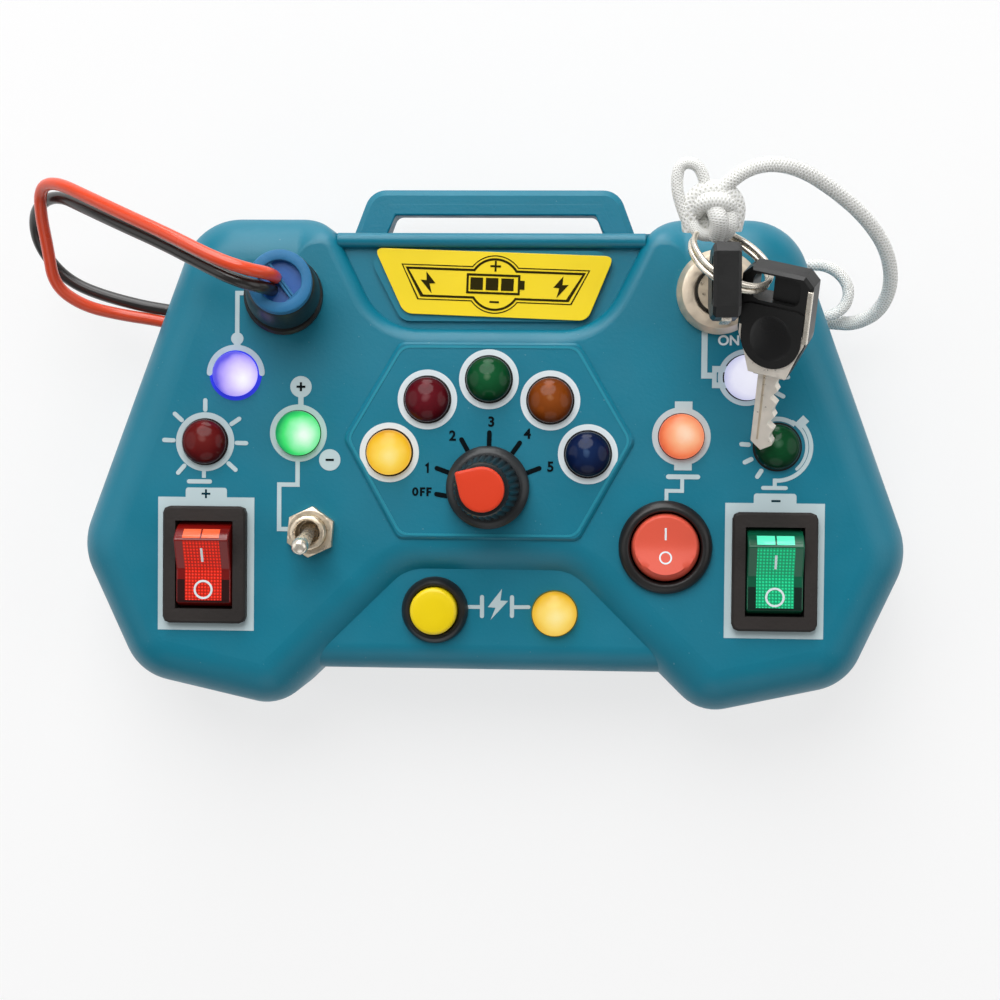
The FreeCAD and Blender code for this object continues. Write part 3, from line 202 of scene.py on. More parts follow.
def lens(name, centre, colours, glow):
    # Coloured dome of a lamp, paler at its bright spot and darker outwards; it glows where it is lit. On an
    # unlit dome the pale spot is the chip inside and a painted highlight, and the darker rim is painted
    # shade.
    look = Look(name)
    swirl = look.maths("SUBTRACT", look.noise(400, 2), 0.5)
    away = look.maths("ADD", look.distance(centre, 5.0 * MM), look.maths("MULTIPLY", swirl, 0.22))
    stops = [(place, shade(linear(rgb), 1.0 if glow else 0.78)) for place, rgb in colours]
    colour = look.ramp(away, stops)

    def tinted(factor):
        return look.ramp(away, [(place, shade(rgb, factor)) for place, rgb in stops])

    if glow:
        look.set(Base_Color=tinted(0.12), Roughness=0.3, Specular_IOR_Level=0.22)
        look.set(Emission_Color=colour, Emission_Strength=glow)
        return look
    # painted reflections: three soft pale patches where an unlit dome would reflect the lights
    for dx, dy, reach in ((-1.35, -1.75, 1.05), (1, -1.5, 0.85), (-0.2, 2.3, 1.1)):
        patch = look.distance(centre + Vector((dx, dy, -0.5)) * MM, reach * MM)
        share = look.ramp(patch, [(0.45, grey(0.30)), (1, grey(0))])
        colour = look.mix(share, colour, tinted(2.4))
    look.set(Base_Color=colour, Roughness=0.12, Specular_IOR_Level=0.16)
    # a faint painted glow on the unlit dome
    look.set(Emission_Color=colour, Emission_Strength=0.08)
    return look


def stippled(name, rgb, pitch=0.57):
    # Tray seen through a rocker's clear top: rows of small raised dots under gloss; the dots are painted
    # lighter as highlights, and the whole tray has a painted glow.
    look = Look(name)
    base = linear(rgb)
    dots = look.maths("MULTIPLY", look.wave("X", pitch * MM), look.wave("Y", pitch * MM))
    colour = look.ramp(dots, [(0.05, shade(base, 0.42)), (0.6, shade(base, 1.2))])
    glow = look.ramp(dots, [(0.1, shade(base, 0.7)), (0.9, shade(base, 1.3))])
    look.set(Base_Color=colour, Roughness=0.35, Specular_IOR_Level=0.2, Emission_Color=glow)
    look.set(Emission_Strength=0.26, Coat_Weight=0.12, Coat_Roughness=0.03)
    look.bump(dots, 0.6, 0.12)
    return look


def glossy(name, rgb, glow=0, mottle=0.25):
    look = plastic(name, rgb, 0.22, 600, 0.01, mottle, 0.25, 0.4)
    look.set(Coat_Roughness=0.03)
    if glow:
        look.set(Emission_Color=linear(rgb), Emission_Strength=glow)
    return look


def braid(name, turns):
    # Braided cord: slanting strands crossing each other along the length.
    look = Look(name)
    along = look.add("TexCoord").outputs["UV"]
    heights = []
    for side in (-1, 1):
        place = look.add("Mapping", Vector=along, Scale=(turns, 4, 1), Rotation=(0, 0, side * 0.7))
        wave = look.add("TexWave", Vector=place.outputs[0], Scale=1, Distortion=0.3)
        heights.append(wave.outputs[1])
    both = look.maths("MAXIMUM", *heights)
    # the colour is darker in the grooves between the strands: painted shade
    colour = look.ramp(both, [(0.2, linear((212, 212, 203))), (0.75, linear((250, 250, 247)))])
    look.set(Base_Color=colour, Roughness=0.5, Sheen_Weight=0.3)
    look.set(Subsurface_Weight=0.2, Subsurface_Radius=(0.002, 0.002, 0.002))
    look.bump(both, 0.55, 0.22)
    return look


# look: colour, roughness, grain, its depth in mm, mottle, shine, coat, dust
PLASTICS = {
    "teal": ((0, 116, 140), 0.42, 1700, 0.05, 0.05, 0.45, 0, 0.12),
    "bezel": ((42, 37, 35), 0.6, 1500, 0.12, 0.25, 0.3),
    "black": ((26, 25, 25), 0.38, 1200, 0.05, 0.25),
    # well: near-black, also used as painted shade in the gaps round the lamps
    "well": ((12, 11, 11), 0.6, 2600, 0.03, 0.2),
    "key": ((20, 20, 20), 0.36, 900, 0.06, 0.2),
    "dish": ((12, 12, 13), 0.3, 700, 0.04, 0.2),
    "flange": ((36, 39, 41), 0.36, 1400, 0.04, 0.12),
    "grip": ((14, 20, 24), 0.34, 1400, 0.04, 0.15),
    "cap": ((220, 64, 34), 0.42, 1700, 0.04, 0.06, 0.25),
    "yellow": ((240, 210, 8), 0.35, 1500, 0.03, 0.04),
    "salmon": ((218, 88, 68), 0.4, 1500, 0.03, 0.05, 0.25),
    "blue": ((36, 108, 154), 0.6, 1300, 0.12, 0.14),
    "deep_blue": ((8, 84, 160), 0.4, 1500, 0.04, 0.12),
}
# The same after a material name of its own
NAMED_PLASTICS = {
    # a lighter teal for a painted highlight, and a darker one for painted shade
    "teal_edge": ("teal_edge", (30, 138, 160), 0.4, 1700, 0.03, 0.05),
    "teal_shade": ("teal_shade", (0, 92, 112), 0.5, 1700, 0.03, 0.05, 0.2),
    "wire_red": ("wire_red", (222, 72, 36), 0.3, 500, 0.02, 0.06, 0.4, 0.3),
    "wire_black": ("wire_black", (34, 31, 30), 0.3, 500, 0.02, 0.2, 0.4, 0.3),
    "print": ("pale_print", (190, 208, 212), 0.5, 3000, 0.01, 0.05, 0.2),
    "white": ("white_print", (222, 232, 236), 0.45, 3000, 0.01, 0.03, 0.2),
    "ink": ("dark_print", (6, 16, 20), 0.6, 3000, 0.01, 0.1, 0.05),
    "teal_ink": ("teal_print", (6, 48, 60), 0.6, 3000, 0.01, 0.1, 0.05),
    "label": ("label_yellow", (246, 216, 28), 0.32, 2400, 0.01, 0.04, 0.4, 0.3),
    "label_ink": ("label_print", (44, 38, 6), 0.6, 2400, 0.01, 0.15, 0.05),
    "cell": ("cell_wrap", (60, 110, 80), 0.3, 2600, 0.03, 0.1, 0.4, 0.4),
}
# look: material, colour, roughness, tarnish, share of metal, stretch of the scratches
METALS = {
    "nickel": ("nickel", (228, 212, 188), 0.32, 0.88, 0.85),
    "turned": ("turned_nickel", (232, 216, 194), 0.42, 0.95, 0.85),
    "bright": ("bright_nickel", (238, 230, 216), 0.24, 0.9, 0.85),
    "blade": ("blade_nickel", (246, 238, 226), 0.38, 0.92, 0.5),
    "steel": ("steel", (170, 170, 168), 0.3, 0.78, 1, (1, 30, 1)),
    # dark metal for painted shade in the lock's gap and the screws' slots
    "dark_metal": ("dark_metal", (70, 66, 60), 0.3),
    "brass": ("brass", (200, 165, 90), 0.3),
}
# look: material, colour, glow, mottle
LENSES = {
    # the rocker tops have a faint painted glow, and their highlight sheets a brighter painted glow
    "red_side": ("red_lens", (116, 14, 11), 0.05),
    "red_dark": ("red_lens_dark", (44, 9, 9)),
    "red_patch": ("red_lens_lit", (250, 96, 56), 0.25, 0.1),
    "green_side": ("green_lens", (10, 84, 58), 0.03),
    "green_dark": ("green_lens_dark", (10, 36, 28)),
    "green_patch": ("green_lens_lit", (88, 232, 186), 0.25, 0.1),
    "violet_glow": ("violet_rim", (40, 52, 196), 0.55, 0.1),
    "amber_glow": ("amber_rim", (96, 104, 24), 0.05, 0.1),
}
TRAYS = {"red_tray": ("red_tray", (228, 42, 22)), "green_tray": ("green_tray", (28, 196, 134))}
# look: material, turns of the braid along the cord
BRAIDS = {"rope": ("braided_rope", 46), "rope_short": ("braided_loop", 15), "rope_knot": ("braided_knot", 8)}

LOOKS = {look: plastic(look + "_plastic", *row) for look, row in PLASTICS.items()}
TABLES = ((plastic, NAMED_PLASTICS), (metal, METALS), (glossy, LENSES), (stippled, TRAYS),
          (braid, BRAIDS))
for make, table in TABLES:
    for look, row in table.items():
        LOOKS[look] = make(*row)


# Pieces

def dress(piece, look):
    piece.data.materials.clear()
    piece.data.materials.append(LOOKS[look].material)


def put(name, data):
    piece = bpy.data.objects.new(name, data)
    bpy.context.scene.collection.objects.link(piece)
    return piece


def assign(piece, body, look, node=None):
    # Its look, material slot and body, and the CAD node it stands for.
    dress(piece, look)
    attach(piece, body)
    if node:
        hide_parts(node)
    return piece


def new_piece(name, bm, body, look, smooth=40, node=None):
    mesh = bpy.data.meshes.new(name)
    bmesh.ops.recalc_face_normals(bm, faces=bm.faces)
    bm.to_mesh(mesh)
    bm.free()
    if smooth:
        mesh.shade_smooth()
        mesh.set_sharp_from_angle(angle=radians(smooth))
    return assign(put(name, mesh), body, look, node)


def bevel(piece, width, segments=2, angle=30, weld=False):
    if weld:
        joint = piece.modifiers.new("weld", "WELD")
        joint.merge_threshold = 0.000005
    edge = piece.modifiers.new("bevel", "BEVEL")
    edge.width = width * MM
    edge.segments = segments
    edge.limit_method = "ANGLE"
    edge.angle_limit = radians(angle)
    edge.harden_normals = not weld
    return piece


def rings_into(bm, rings, closed=False):
    # Quads between rings of as many points each; a ring of one point closes the form.
    made = [[bm.verts.new(p) for p in ring] for ring in rings]
    pairs = list(zip(made, made[1:]))
    if closed:
        pairs.append((made[-1], made[0]))
    for low, high in pairs:
        count = max(len(low), len(high))
        for k in range(count):
            n = (k + 1) % count
            if len(low) == 1:
                bm.faces.new((low[0], high[k], high[n]))
            elif len(high) == 1:
                bm.faces.new((low[k], low[n], high[0]))
            else:
                bm.faces.new((low[k], low[n], high[n], high[k]))


def leaning(axis):
    return Vector((0, 0, 1)).rotation_difference(axis).to_matrix()


def lathe(name, profile, centre, body, look, segments=64, axis=None, smooth=35, shape=None, node=None):
    # Profile of (radius, height) pairs round a point; shape(angle, radius, height) changes the radius.
    turn = Matrix.Identity(3) if axis is None else leaning(axis)
    rings = []
    for radius, height in profile:
        if radius == 0:
            rings.append([centre + turn @ Vector((0, 0, height * MM))])
            continue
        points = []
        for k in range(segments):
            a = 2 * pi * k / segments
            r = shape(a, radius, height) if shape else radius
            points.append(centre + turn @ (Vector((r * cos(a), r * sin(a), height)) * MM))
        rings.append(points)
    bm = bmesh.new()
    rings_into(bm, rings)
    return new_piece(name, bm, body, look, smooth, node)


def flat(*places):
    return [Vector(p) for p in places]


def stroke(points, width, round_ends=True):
    # Outline of a stroke along points, mitred at its corners and round at its ends.
    half = width / 2
    pts = flat(*points)
    left, right = [], []
    for k, p in enumerate(pts):
        back = (p - pts[k - 1]).normalized() if k else None
        ahead = (pts[k + 1] - p).normalized() if k + 1 < len(pts) else None
        way = (back + ahead).normalized() if back and ahead else back or ahead
        normal = Vector((-way.y, way.x))
        reach = half
        if back and ahead:
            reach = half / max(0.4, normal.dot(Vector((-back.y, back.x))))
        left.append(p + normal * reach)
        right.append(p - normal * reach)

    def end(p, start):
        if not round_ends:
            return []
        base = atan2(start.y - p.y, start.x - p.x)
        turns = [base - pi * k / 6 for k in range(1, 6)]
        return [p + Vector((cos(a), sin(a))) * half for a in turns]

    return left + end(pts[-1], left[-1]) + right[::-1] + end(pts[0], right[0])


def circle(x, y, r, count=48, start=0, stop=360):
    # Points round a centre, or along an arc in degrees with both its ends.
    steps = count if abs(stop - start) >= 360 else count + 1
    turns = [radians(start + (stop - start) * k / count) for k in range(steps)]
    return [Vector((x + r * cos(a), y + r * sin(a))) for a in turns]


def box(x0, y0, x1, y1, top_round=0):
    # Rectangle, its two upper corners round where that is asked.
    low = flat((x0, y0), (x1, y0))
    if not top_round:
        return low + flat((x1, y1), (x0, y1))
    right = circle(x1 - top_round, y1 - top_round, top_round, 5, 0, 90)
    return low + right + circle(x0 + top_round, y1 - top_round, top_round, 5, 90, 180)


def round_path(corners, r, count=5):
    # Closed outline with a round at each corner, walking anticlockwise.
    out = []
    for k, corner in enumerate(corners):
        here = Vector(corner)
        back = (Vector(corners[k - 1]) - here).normalized()
        ahead = (Vector(corners[(k + 1) % len(corners)]) - here).normalized()
        start = here + back * r
        stop = here + ahead * r
        for n in range(count + 1):
            t = n / count
            out.append(start * (1 - t) ** 2 + here * (2 * t * (1 - t)) + stop * t ** 2)
    return out


def plate_into(bm, outline, z0, z1, hole=None, place=at):
    # Thin raised shape: the outline's wall and its top, with an optional hole of as many points.
    def points(line, z):
        return [bm.verts.new(place(p.x, p.y, z)) for p in line]

    low = points(outline, z0)
    high = points(outline, z1)
    pairs = [(k, (k + 1) % len(outline)) for k in range(len(outline))]
    for k, n in pairs:
        bm.faces.new((low[k], low[n], high[n], high[k]))
    if hole is None:
        bm.faces.new(high)
        bm.faces.new(low)
        return
    inner_low = points(hole, z0)
    inner = points(hole, z1)
    for k, n in pairs:
        bm.faces.new((high[k], high[n], inner[n], inner[k]))
        bm.faces.new((inner[k], inner[n], inner_low[n], inner_low[k]))
        bm.faces.new((low[n], low[k], inner_low[k], inner_low[n]))


def mark(name, shapes, z, look, body="board", place=at, thick=0.07):
    # Printed mark: each shape is an outline, or an outline and its hole.
    bm = bmesh.new()
    for k, shape in enumerate(shapes):
        outline, hole = shape if isinstance(shape, tuple) else (shape, None)
        plate_into(bm, outline, z - 0.03, z + thick + 0.003 * k, hole, place)
    return new_piece(name, bm, body, look, 0)


def ring(x, y, outer, inner, count=56):
    return circle(x, y, outer, count), circle(x, y, inner, count)


def arc(x, y, r, width, start, stop, round_ends=True):
    return stroke(circle(x, y, r, 28, start, stop), width, round_ends)


def ray(x, y, r0, r1, angle, width):
    a = radians(angle)
    return stroke([(x + r * cos(a), y + r * sin(a)) for r in (r0, r1)], width)


def plus(x, y, size, width):
    h = size / 2
    w = width / 2
    corners = ((-h, -w), (-w, -w), (-w, -h), (w, -h), (w, -w), (h, -w),
               (h, w), (w, w), (w, h), (-w, h), (-w, w), (-h, w))
    return [Vector((x + a, y + b)) for a, b in corners]


def slab(name, outline, z0, z1, body, look, soft=0, place=at, hole=None, segments=2):
    # Raised shape in one piece, its edges bevelled where that is asked.
    bm = bmesh.new()
    plate_into(bm, outline, z0, z1, hole, place)
    piece = new_piece(name, bm, body, look, 0)
    return bevel(piece, soft, segments) if soft else piece


def tube_line(name, route, radius, resolution=16, closed=False):
    curve = bpy.data.curves.new(name, "CURVE")
    curve.dimensions = "3D"
    spline = curve.splines.new("NURBS")
    spline.points.add(len(route) - 1)
    for point, place in zip(spline.points, route):
        point.co = (*at(*place), 1)
    spline.order_u = 3
    spline.use_cyclic_u = closed
    spline.use_endpoint_u = not closed
    curve.resolution_u = resolution
    curve.bevel_depth = radius * MM
    curve.bevel_resolution = 6
    curve.use_fill_caps = True
    return put(name, curve)


def tube(name, route, radius, body, look, node, resolution=16, closed=False):
    return assign(tube_line(name, route, radius, resolution, closed), body, look, node)


def as_mesh(drawn):
    bpy.context.view_layer.update()
    graph = bpy.context.evaluated_depsgraph_get()
    mesh = bpy.data.meshes.new_from_object(drawn.evaluated_get(graph))
    mesh.transform(drawn.matrix_world)
    return mesh


def lettering(name, words, x, y, z, size, look, weight):
    curve = bpy.data.curves.new(name, "FONT")
    curve.body = words
    curve.size = size * MM
    curve.align_x = "CENTER"
    curve.align_y = "CENTER"
    curve.extrude = 0.00004
    curve.offset = weight * MM
    drawn = put(name + "_line", curve)
    drawn.location = at(x, y, z + 0.03)
    mesh = as_mesh(drawn)
    bpy.data.objects.remove(drawn)
    assign(put(name, mesh), "board", look)


# Camera, world, lights and floor

# name, place, size and power; the last one grazes the rounded upper edges
LIGHTS = (
    ("key_light", (-0.12, 0.62, 0.75), 0.85, 8.4),
    ("fill_light", (0.75, 0.05, 0.5), 0.8, 1.9),
    ("side_light", (-0.75, 0.05, 0.5), 0.8, 1.5),
    ("low_light", (0, -0.75, 0.5), 0.7, 1),
    ("edge_light", (-0.05, 0.85, 0.2), 0.5, 3.2),
)
AIM = (0, 0, 0.02)
# The world is low on the object, and brighter for these rays
WORLD = 0.11
BRIGHTER = (("Is Camera Ray", 0.76), ("Is Glossy Ray", 0.13), ("Is Transmission Ray", 0.13))
# Share of plain white in the floor, for the camera
FLOOR_WHITE = 0.72


def set_camera():
    camera = bpy.data.cameras.new("camera")
    camera.sensor_width = 36.0
    camera.lens = camera.sensor_width * FOCAL / 1000
    camera.clip_start = 0.01
    camera.clip_end = 10
    seen = put("camera", camera)
    turn = Matrix.Identity(3)
    for axis, angle in TURNS:
        turn = turn @ Matrix.Rotation(radians(angle), 3, axis)
    seen.matrix_world = Matrix.Translation(at(*CAMERA)) @ turn.transposed().to_4x4()
    bpy.context.scene.camera = seen


def set_world():
    scene = bpy.context.scene
    scene.view_settings.view_transform = "Standard"
    world = bpy.data.worlds.new("studio")
    world.use_nodes = True
    scene.world = world
    tree = world.node_tree
    background = tree.nodes["Background"]
    background.inputs["Color"].default_value = grey(1)
    rays = tree.nodes.new("ShaderNodeLightPath")
    strength = None
    for kind, more in BRIGHTER:
        step = tree.nodes.new("ShaderNodeMath")
        step.operation = "MULTIPLY_ADD"
        tree.links.new(rays.outputs[kind], step.inputs[0])
        step.inputs[1].default_value = more
        step.inputs[2].default_value = WORLD
        if strength is not None:
            tree.links.new(strength, step.inputs[2])
        strength = step.outputs[0]
    tree.links.new(strength, background.inputs["Strength"])


def set_lights():
    for name, place, size, power in LIGHTS:
        light = bpy.data.lights.new(name, "AREA")
        light.shape = "DISK"
        light.size = size
        light.energy = power
        lamp = put(name, light)
        lamp.location = place
        lamp.rotation_euler = (Vector(AIM) - Vector(place)).to_track_quat("-Z", "Y").to_euler()


def lay_floor():
    mesh = bpy.data.meshes.new("floor")
    bm = bmesh.new()
    bmesh.ops.create_grid(bm, x_segments=1, y_segments=1, size=3)
    bm.to_mesh(mesh)
    bm.free()
    floor = put("floor", mesh)
    floor.location = (0, 0, -0.0002)
    look = Look("studio_floor")
    look.set(Base_Color=grey(0.86), Roughness=0.9)
    pale = look.add("Emission", Color=grey(1), Strength=1)
    rays = look.add("LightPath")
    seen = look.maths("MAXIMUM", rays.outputs["Is Camera Ray"], rays.outputs["Is Glossy Ray"])
    mix = look.add("MixShader")
    look.feed(mix.inputs[0], look.maths("MULTIPLY", seen, FLOOR_WHITE))
    look.feed(mix.inputs[1], look.shader.outputs[0])
    look.feed(mix.inputs[2], pale.outputs[0])
    look.feed(look.tree.nodes["Material Output"].inputs["Surface"], mix.outputs[0])
    mesh.materials.append(look.material)


set_camera()
set_world()
set_lights()
lay_floor()


# Cords, with the plug and the knot: the routes of the solids

RED_ROUTE = [
    (-36.2, 30, 42), (-35.8, 30.2, 47), (-39.4, 30.6, 50.8), (-45.2, 32.6, 50.5),
    (-52.8, 36.4, 48.4), (-61.3, 40.2, 45.2), (-69.3, 43.9, 41), (-76.5, 47.2, 35.9),
    (-80.6, 46.8, 31.6), (-81.5, 42.4, 28.2), (-81.2, 36.6, 24.8), (-81.2, 30.2, 21),
    (-76.8, 26.7, 17.6), (-70.3, 25.2, 15.2), (-62.9, 24.2, 14.5), (-57, 22.9, 14.5),
]
BLACK_ROUTE = [
    (-36.8, 27.9, 42), (-37.2, 27.9, 46.4), (-41.6, 28.8, 49), (-48, 31.9, 47.2),
    (-55.4, 35.6, 44.6), (-63.4, 39.1, 41), (-70.9, 42.5, 35.8), (-78.4, 45.9, 29),
    (-84.2, 44.2, 22.8), (-85.7, 39.4, 17.6), (-83.4, 34.6, 15), (-79.6, 31.2, 14.4),
    (-74.3, 29, 14.4), (-66.7, 27, 14.5), (-61, 26.1, 14.5), (-57.4, 25.5, 14.5),
]
ROPE_ROUTE = [
    (38.8, 43.4, 47.6), (41.8, 46.6, 49.4), (46.8, 48.7, 49.2), (53, 48.3, 45.4),
    (59.6, 45.4, 38.6), (65.7, 41.6, 32), (70.2, 36.8, 26), (72, 31.1, 20.4),
    (70.4, 26.4, 16), (66.3, 24.3, 13.4), (62.4, 24.6, 12.8), (58.4, 24.9, 12.8),
]
LOOP_ROUTE = [
    (55.2, 34.6, 14.6), (58.4, 35.2, 15), (62, 34.4, 15.4), (64.8, 31.4, 15.8),
    (64.6, 27.8, 16.1), (61.8, 25.4, 16.1), (58.6, 25.2, 16.1),
]
TAIL_ROUTE = [
    (37.4, 43.2, 47.4), (37, 46, 48.2), (35.6, 48.6, 48.8), (32.8, 48.7, 48.8),
    (32.2, 45.4, 48.2), (33, 41.8, 47.2), (34.6, 38.4, 46.2),
]
# The knot's strands: one down its left side, a doubled one in front, and the wraps above it
KNOT = [
    ("knot_arch", 1.55, [(34.9, 37.9, 45.4), (34.4, 40.9, 46.6), (35.5, 43.7, 47.6), (38.6, 44.7, 48.2),
        (41.6, 43.7, 47.6), (42.6, 40.9, 46.4), (41.9, 38.2, 45.2)]),
    ("knot_band", 1.6, [(35, 40.3, 44.8), (35.9, 42, 47.8), (38.6, 42.6, 49.1), (41.4, 42, 47.8),
        (42.2, 40.3, 45.2)]),
    ("knot_front", 1.6, [(38.3, 42.2, 47.2), (39, 40.4, 48.9), (39.6, 38.4, 48.2), (39, 36.9, 45.8)]),
    ("knot_right", 1.3, [(40.9, 41.3, 47.2), (41.5, 39.3, 47.8), (41, 37.4, 46.4), (39.6, 36.8, 45.2)]),
    ("knot_left", 1.1, [(34.9, 39.2, 46.4), (35.7, 37.5, 46.8), (37.2, 36.9, 46.2), (38.8, 37.2, 45.4)]),
    ("knot_back", 1.8, [(36.6, 42.4, 44.4), (40.8, 42.4, 44.4), (40.9, 38.8, 44.2), (37.2, 38.6, 44.2)]),
]


def bending_rope(route):
    # The long rope as one mesh, and its centre line
    line = tube_line("rope_line", route, 1.3)
    mesh = as_mesh(line)
    line.data.bevel_depth = 0.0
    path = [vertex.co.copy() for vertex in as_mesh(line).vertices]
    bpy.data.objects.remove(line)
    piece = put("rope_cord", mesh)
    dress(piece, "rope")
    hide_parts("rope")
    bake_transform(piece)
    return piece, path


def plug():
    # Tapered rubber base and the blue ring with its recess, leaning towards the handle.
    lean = radians(9)
    heading = radians(40)
    axis = Vector((sin(lean) * cos(heading), sin(lean) * sin(heading), cos(lean)))
    turn = leaning(axis)
    centre = at(*PLUG, FACE)
    rubber = [(2.5, 2.75), (6, 2.75), (6.35, 2.9), (6.6, 3.55), (6.52, 4.3), (5.85, 11.5), (5.6, 11.95),
              (2.5, 12)]
    rim = [(3, 11.9), (5.55, 12), (5.55, 13.75), (5.45, 14.05), (5.2, 14.2), (3.95, 14.2), (3.75, 14.1),
           (3.7, 13.9), (3.7, 12.6)]
    well = [(3.72, 12.3), (3.72, 12.7), (0, 12.62)]
    pieces = [
        lathe("plug_base", rubber, centre, "board", "black", 72, axis, node="plug_body"),
        lathe("plug_ring", rim, centre, "board", "blue", 72, axis, node="plug_insert"),
        lathe("plug_recess", well, centre, "board", "deep_blue", 40, axis),
    ]

    def lifted(x, y, z):
        return centre + turn @ (Vector((x, y, z)) * MM)

    # two crescents and two slanting bars in the recess
    floor = 12.4
    bm = bmesh.new()
    for start, stop in ((110, 165), (285, 345)):
        plate_into(bm, circle(0, 0, 3.72, 10, start, stop), floor, 13.7, None, lifted)
    for half in (-0.32, 0.32):
        bar = ((half - 2.3, 2.9), (half - 1.9, 3.1), (half + 2.5, -2.7), (half + 2.1, -2.9))
        plate_into(bm, flat(*bar), floor, 13.5, None, lifted)
    web = new_piece("plug_web", bm, "board", "blue", 0)
    return pieces + [bevel(web, 0.08), nodes["plug_pin"]]


def cords():
    pieces = plug()
    for name, route, length in (("wire_red", RED_ROUTE, 0.1055), ("wire_black", BLACK_ROUTE, 0.1036)):
        inward = route[::-1]
        piece = tube(name + "_cord", inward, 1.12, "board", name, name)
        at(*inward[0])
    inward = ROPE_ROUTE[::-1]
    rope, path = bending_rope(inward)
    knot = [
        tube("rope_loop_cord", LOOP_ROUTE, 1.05, "board", "rope_short", "rope_loop"),
        tube("rope_tail_cord", TAIL_ROUTE, 1, "key", "rope_short", "rope_tail"),
    ]
    for name, radius, route in KNOT:
        closed = name == "knot_back"
        knot.append(tube(name, route, radius, "key", "rope_knot", "rope_knot", 12, closed))
    at(*inward[0])
    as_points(path)


cords()


# Lamps: a glossy dome each, the lit ones pale in the middle; the unlit ones carry a painted highlight at
# their bright spot and painted shade towards the rim

# How far out the colours of most unlit and lit lamps lie
DARK = (0.05, 0.2, 0.6, 0.85)
LIT = (0.1, 0.4, 0.75, 1)

LAMPS = {
    # name: x, y, panel, bright spot, how bright, places of the colours, colours outwards
    "violet": (-45.6, 13.8, FACE, (1.8, -1), 0.92, LIT,
        ((250, 248, 255), (226, 214, 255), (178, 160, 250), (92, 84, 226))),
    "white": (45.6, 13.8, FACE, (0.5, 0), 0.9, (0.1, 0.6, 0.85, 1),
        ((240, 240, 253), (230, 230, 248), (205, 206, 236), (170, 176, 214))),
    "red_left": (-51.1, 1.6, FACE, (0, 0.6), 0, DARK,
        ((150, 92, 88), (112, 34, 32), (98, 18, 20), (66, 8, 12))),
    "green_right": (51.1, 1.6, FACE, (0, 0.6), 0, DARK,
        ((84, 130, 100), (18, 84, 46), (10, 70, 38), (6, 46, 28))),
    "green_left": (-34.2, 3.3, FACE, (1.4, -0.4), 0.92, (0.15, 0.45, 0.75, 1),
        ((232, 255, 238), (150, 246, 180), (60, 224, 112), (20, 150, 82))),
    "orange_right": (34.2, 3.3, FACE, (0.6, 0.3), 0.9, LIT,
        ((252, 214, 184), (250, 178, 134), (244, 130, 84), (214, 84, 50))),
    "yellow": (-17.71, 0, DIAL, (0.2, -0.6), 0.88, LIT,
        ((255, 232, 140), (253, 214, 84), (246, 190, 40), (214, 146, 20))),
    "blue": (17.71, 0, DIAL, (-0.2, 0.3), 0, DARK, ((84, 112, 150), (20, 42, 84), (12, 28, 66), (7, 16, 42))),
    "red": (-10.95, 9.48, DIAL, (0, 0.3), 0, DARK, ((150, 92, 96), (104, 24, 34), (90, 14, 24), (60, 7, 15))),
    "orange": (10.95, 9.48, DIAL, (0, 0.3), 0, DARK,
        ((190, 136, 96), (146, 74, 26), (130, 62, 14), (92, 40, 8))),
    "green": (0, 13.16, DIAL, (0, 0.3), 0, DARK, ((120, 150, 120), (22, 92, 52), (12, 76, 40), (7, 50, 28))),
    "amber": (11.97, -28.7, FLOOR, (0.2, -0.4), 0.88, (0.1, 0.45, 0.8, 1),
        ((255, 236, 160), (252, 218, 108), (240, 188, 50), (196, 140, 20))),
}


def lamps():
    turns = [pi / 2 * k / 12 for k in range(12)]
    dome = [(4.0 * cos(a), 0.9 + 2.3 * sin(a)) for a in turns]
    dome = [(3.95, -0.4), (4, 0.3)] + dome + [(0, 3.2)]
    for name, (x, y, z, spot, glow, places, colours) in LAMPS.items():
        look = "lens_" + name
        LOOKS[look] = lens(look, at(x + spot[0], y + spot[1], z + 2.6), zip(places, colours), glow)
        lathe("dome_" + name, dome, at(x, y, z), "board", look, 56, node="lamp_" + name)
        # painted shade: a near-black ring in the gap round each dome
        if name not in ("violet", "amber"):
            mark(name + "_gap", [ring(x, y, 4.34, 3.9)], z, "well", thick=0.03)


lamps()


# Prints on the panel

def on_face(name, *shapes):
    mark(name + "_print", shapes, FACE, "print")


def left_prints():
    x, y = LAMPS["violet"][:2]
    # painted glow of the lit lamp on the ring round it
    mark("violet_rim", [ring(x, y, 4.75, 3.95)], FACE, "violet_glow", thick=0.04)
    lead = [(-45.36, 19.6), (-45.36, 28.3), (-43.9, 28.3)]
    on_face("violet", arc(x, y, 4.75, 1, 178, 2), stroke(lead, 0.78, False),
            circle(-45.35, 20.15, 1.12, 24), box(-45.95, 18.4, -44.75, 20))

    x, y = LAMPS["red_left"][:2]
    rays = [ray(x, y, 5.75, 7.45, a, 0.78) for a in (90, 138, 34, 178, -1.5, -42, 229)]
    on_face("red_left", ring(x, y, 5.3, 4.25), box(-51.65, -4.9, -50.95, -3.3),
            stroke([(-54, -5.55), (-50.2, -5.55)], 0.78), *rays)

    x, y = LAMPS["green_left"][:2]
    lead = [(-34.3, -1.4), (-34.3, -5.95), (-37.6, -5.95), (-37.6, -13.95), (-36, -13.95)]
    on_face("green_left", ring(x, y, 5.14, 4.15), circle(-33.78, 11.6, 1.93, 32),
            circle(-28.5, -1.45, 1.93, 32), box(-34.25, 8.1, -33.3, 10.2), stroke(lead, 0.78, False))
    mark("green_left_signs", [plus(-33.78, 11.6, 1.6, 0.4), box(-29.25, -1.65, -27.75, -1.25)],
         FACE + 0.08, "ink", thick=0.03)


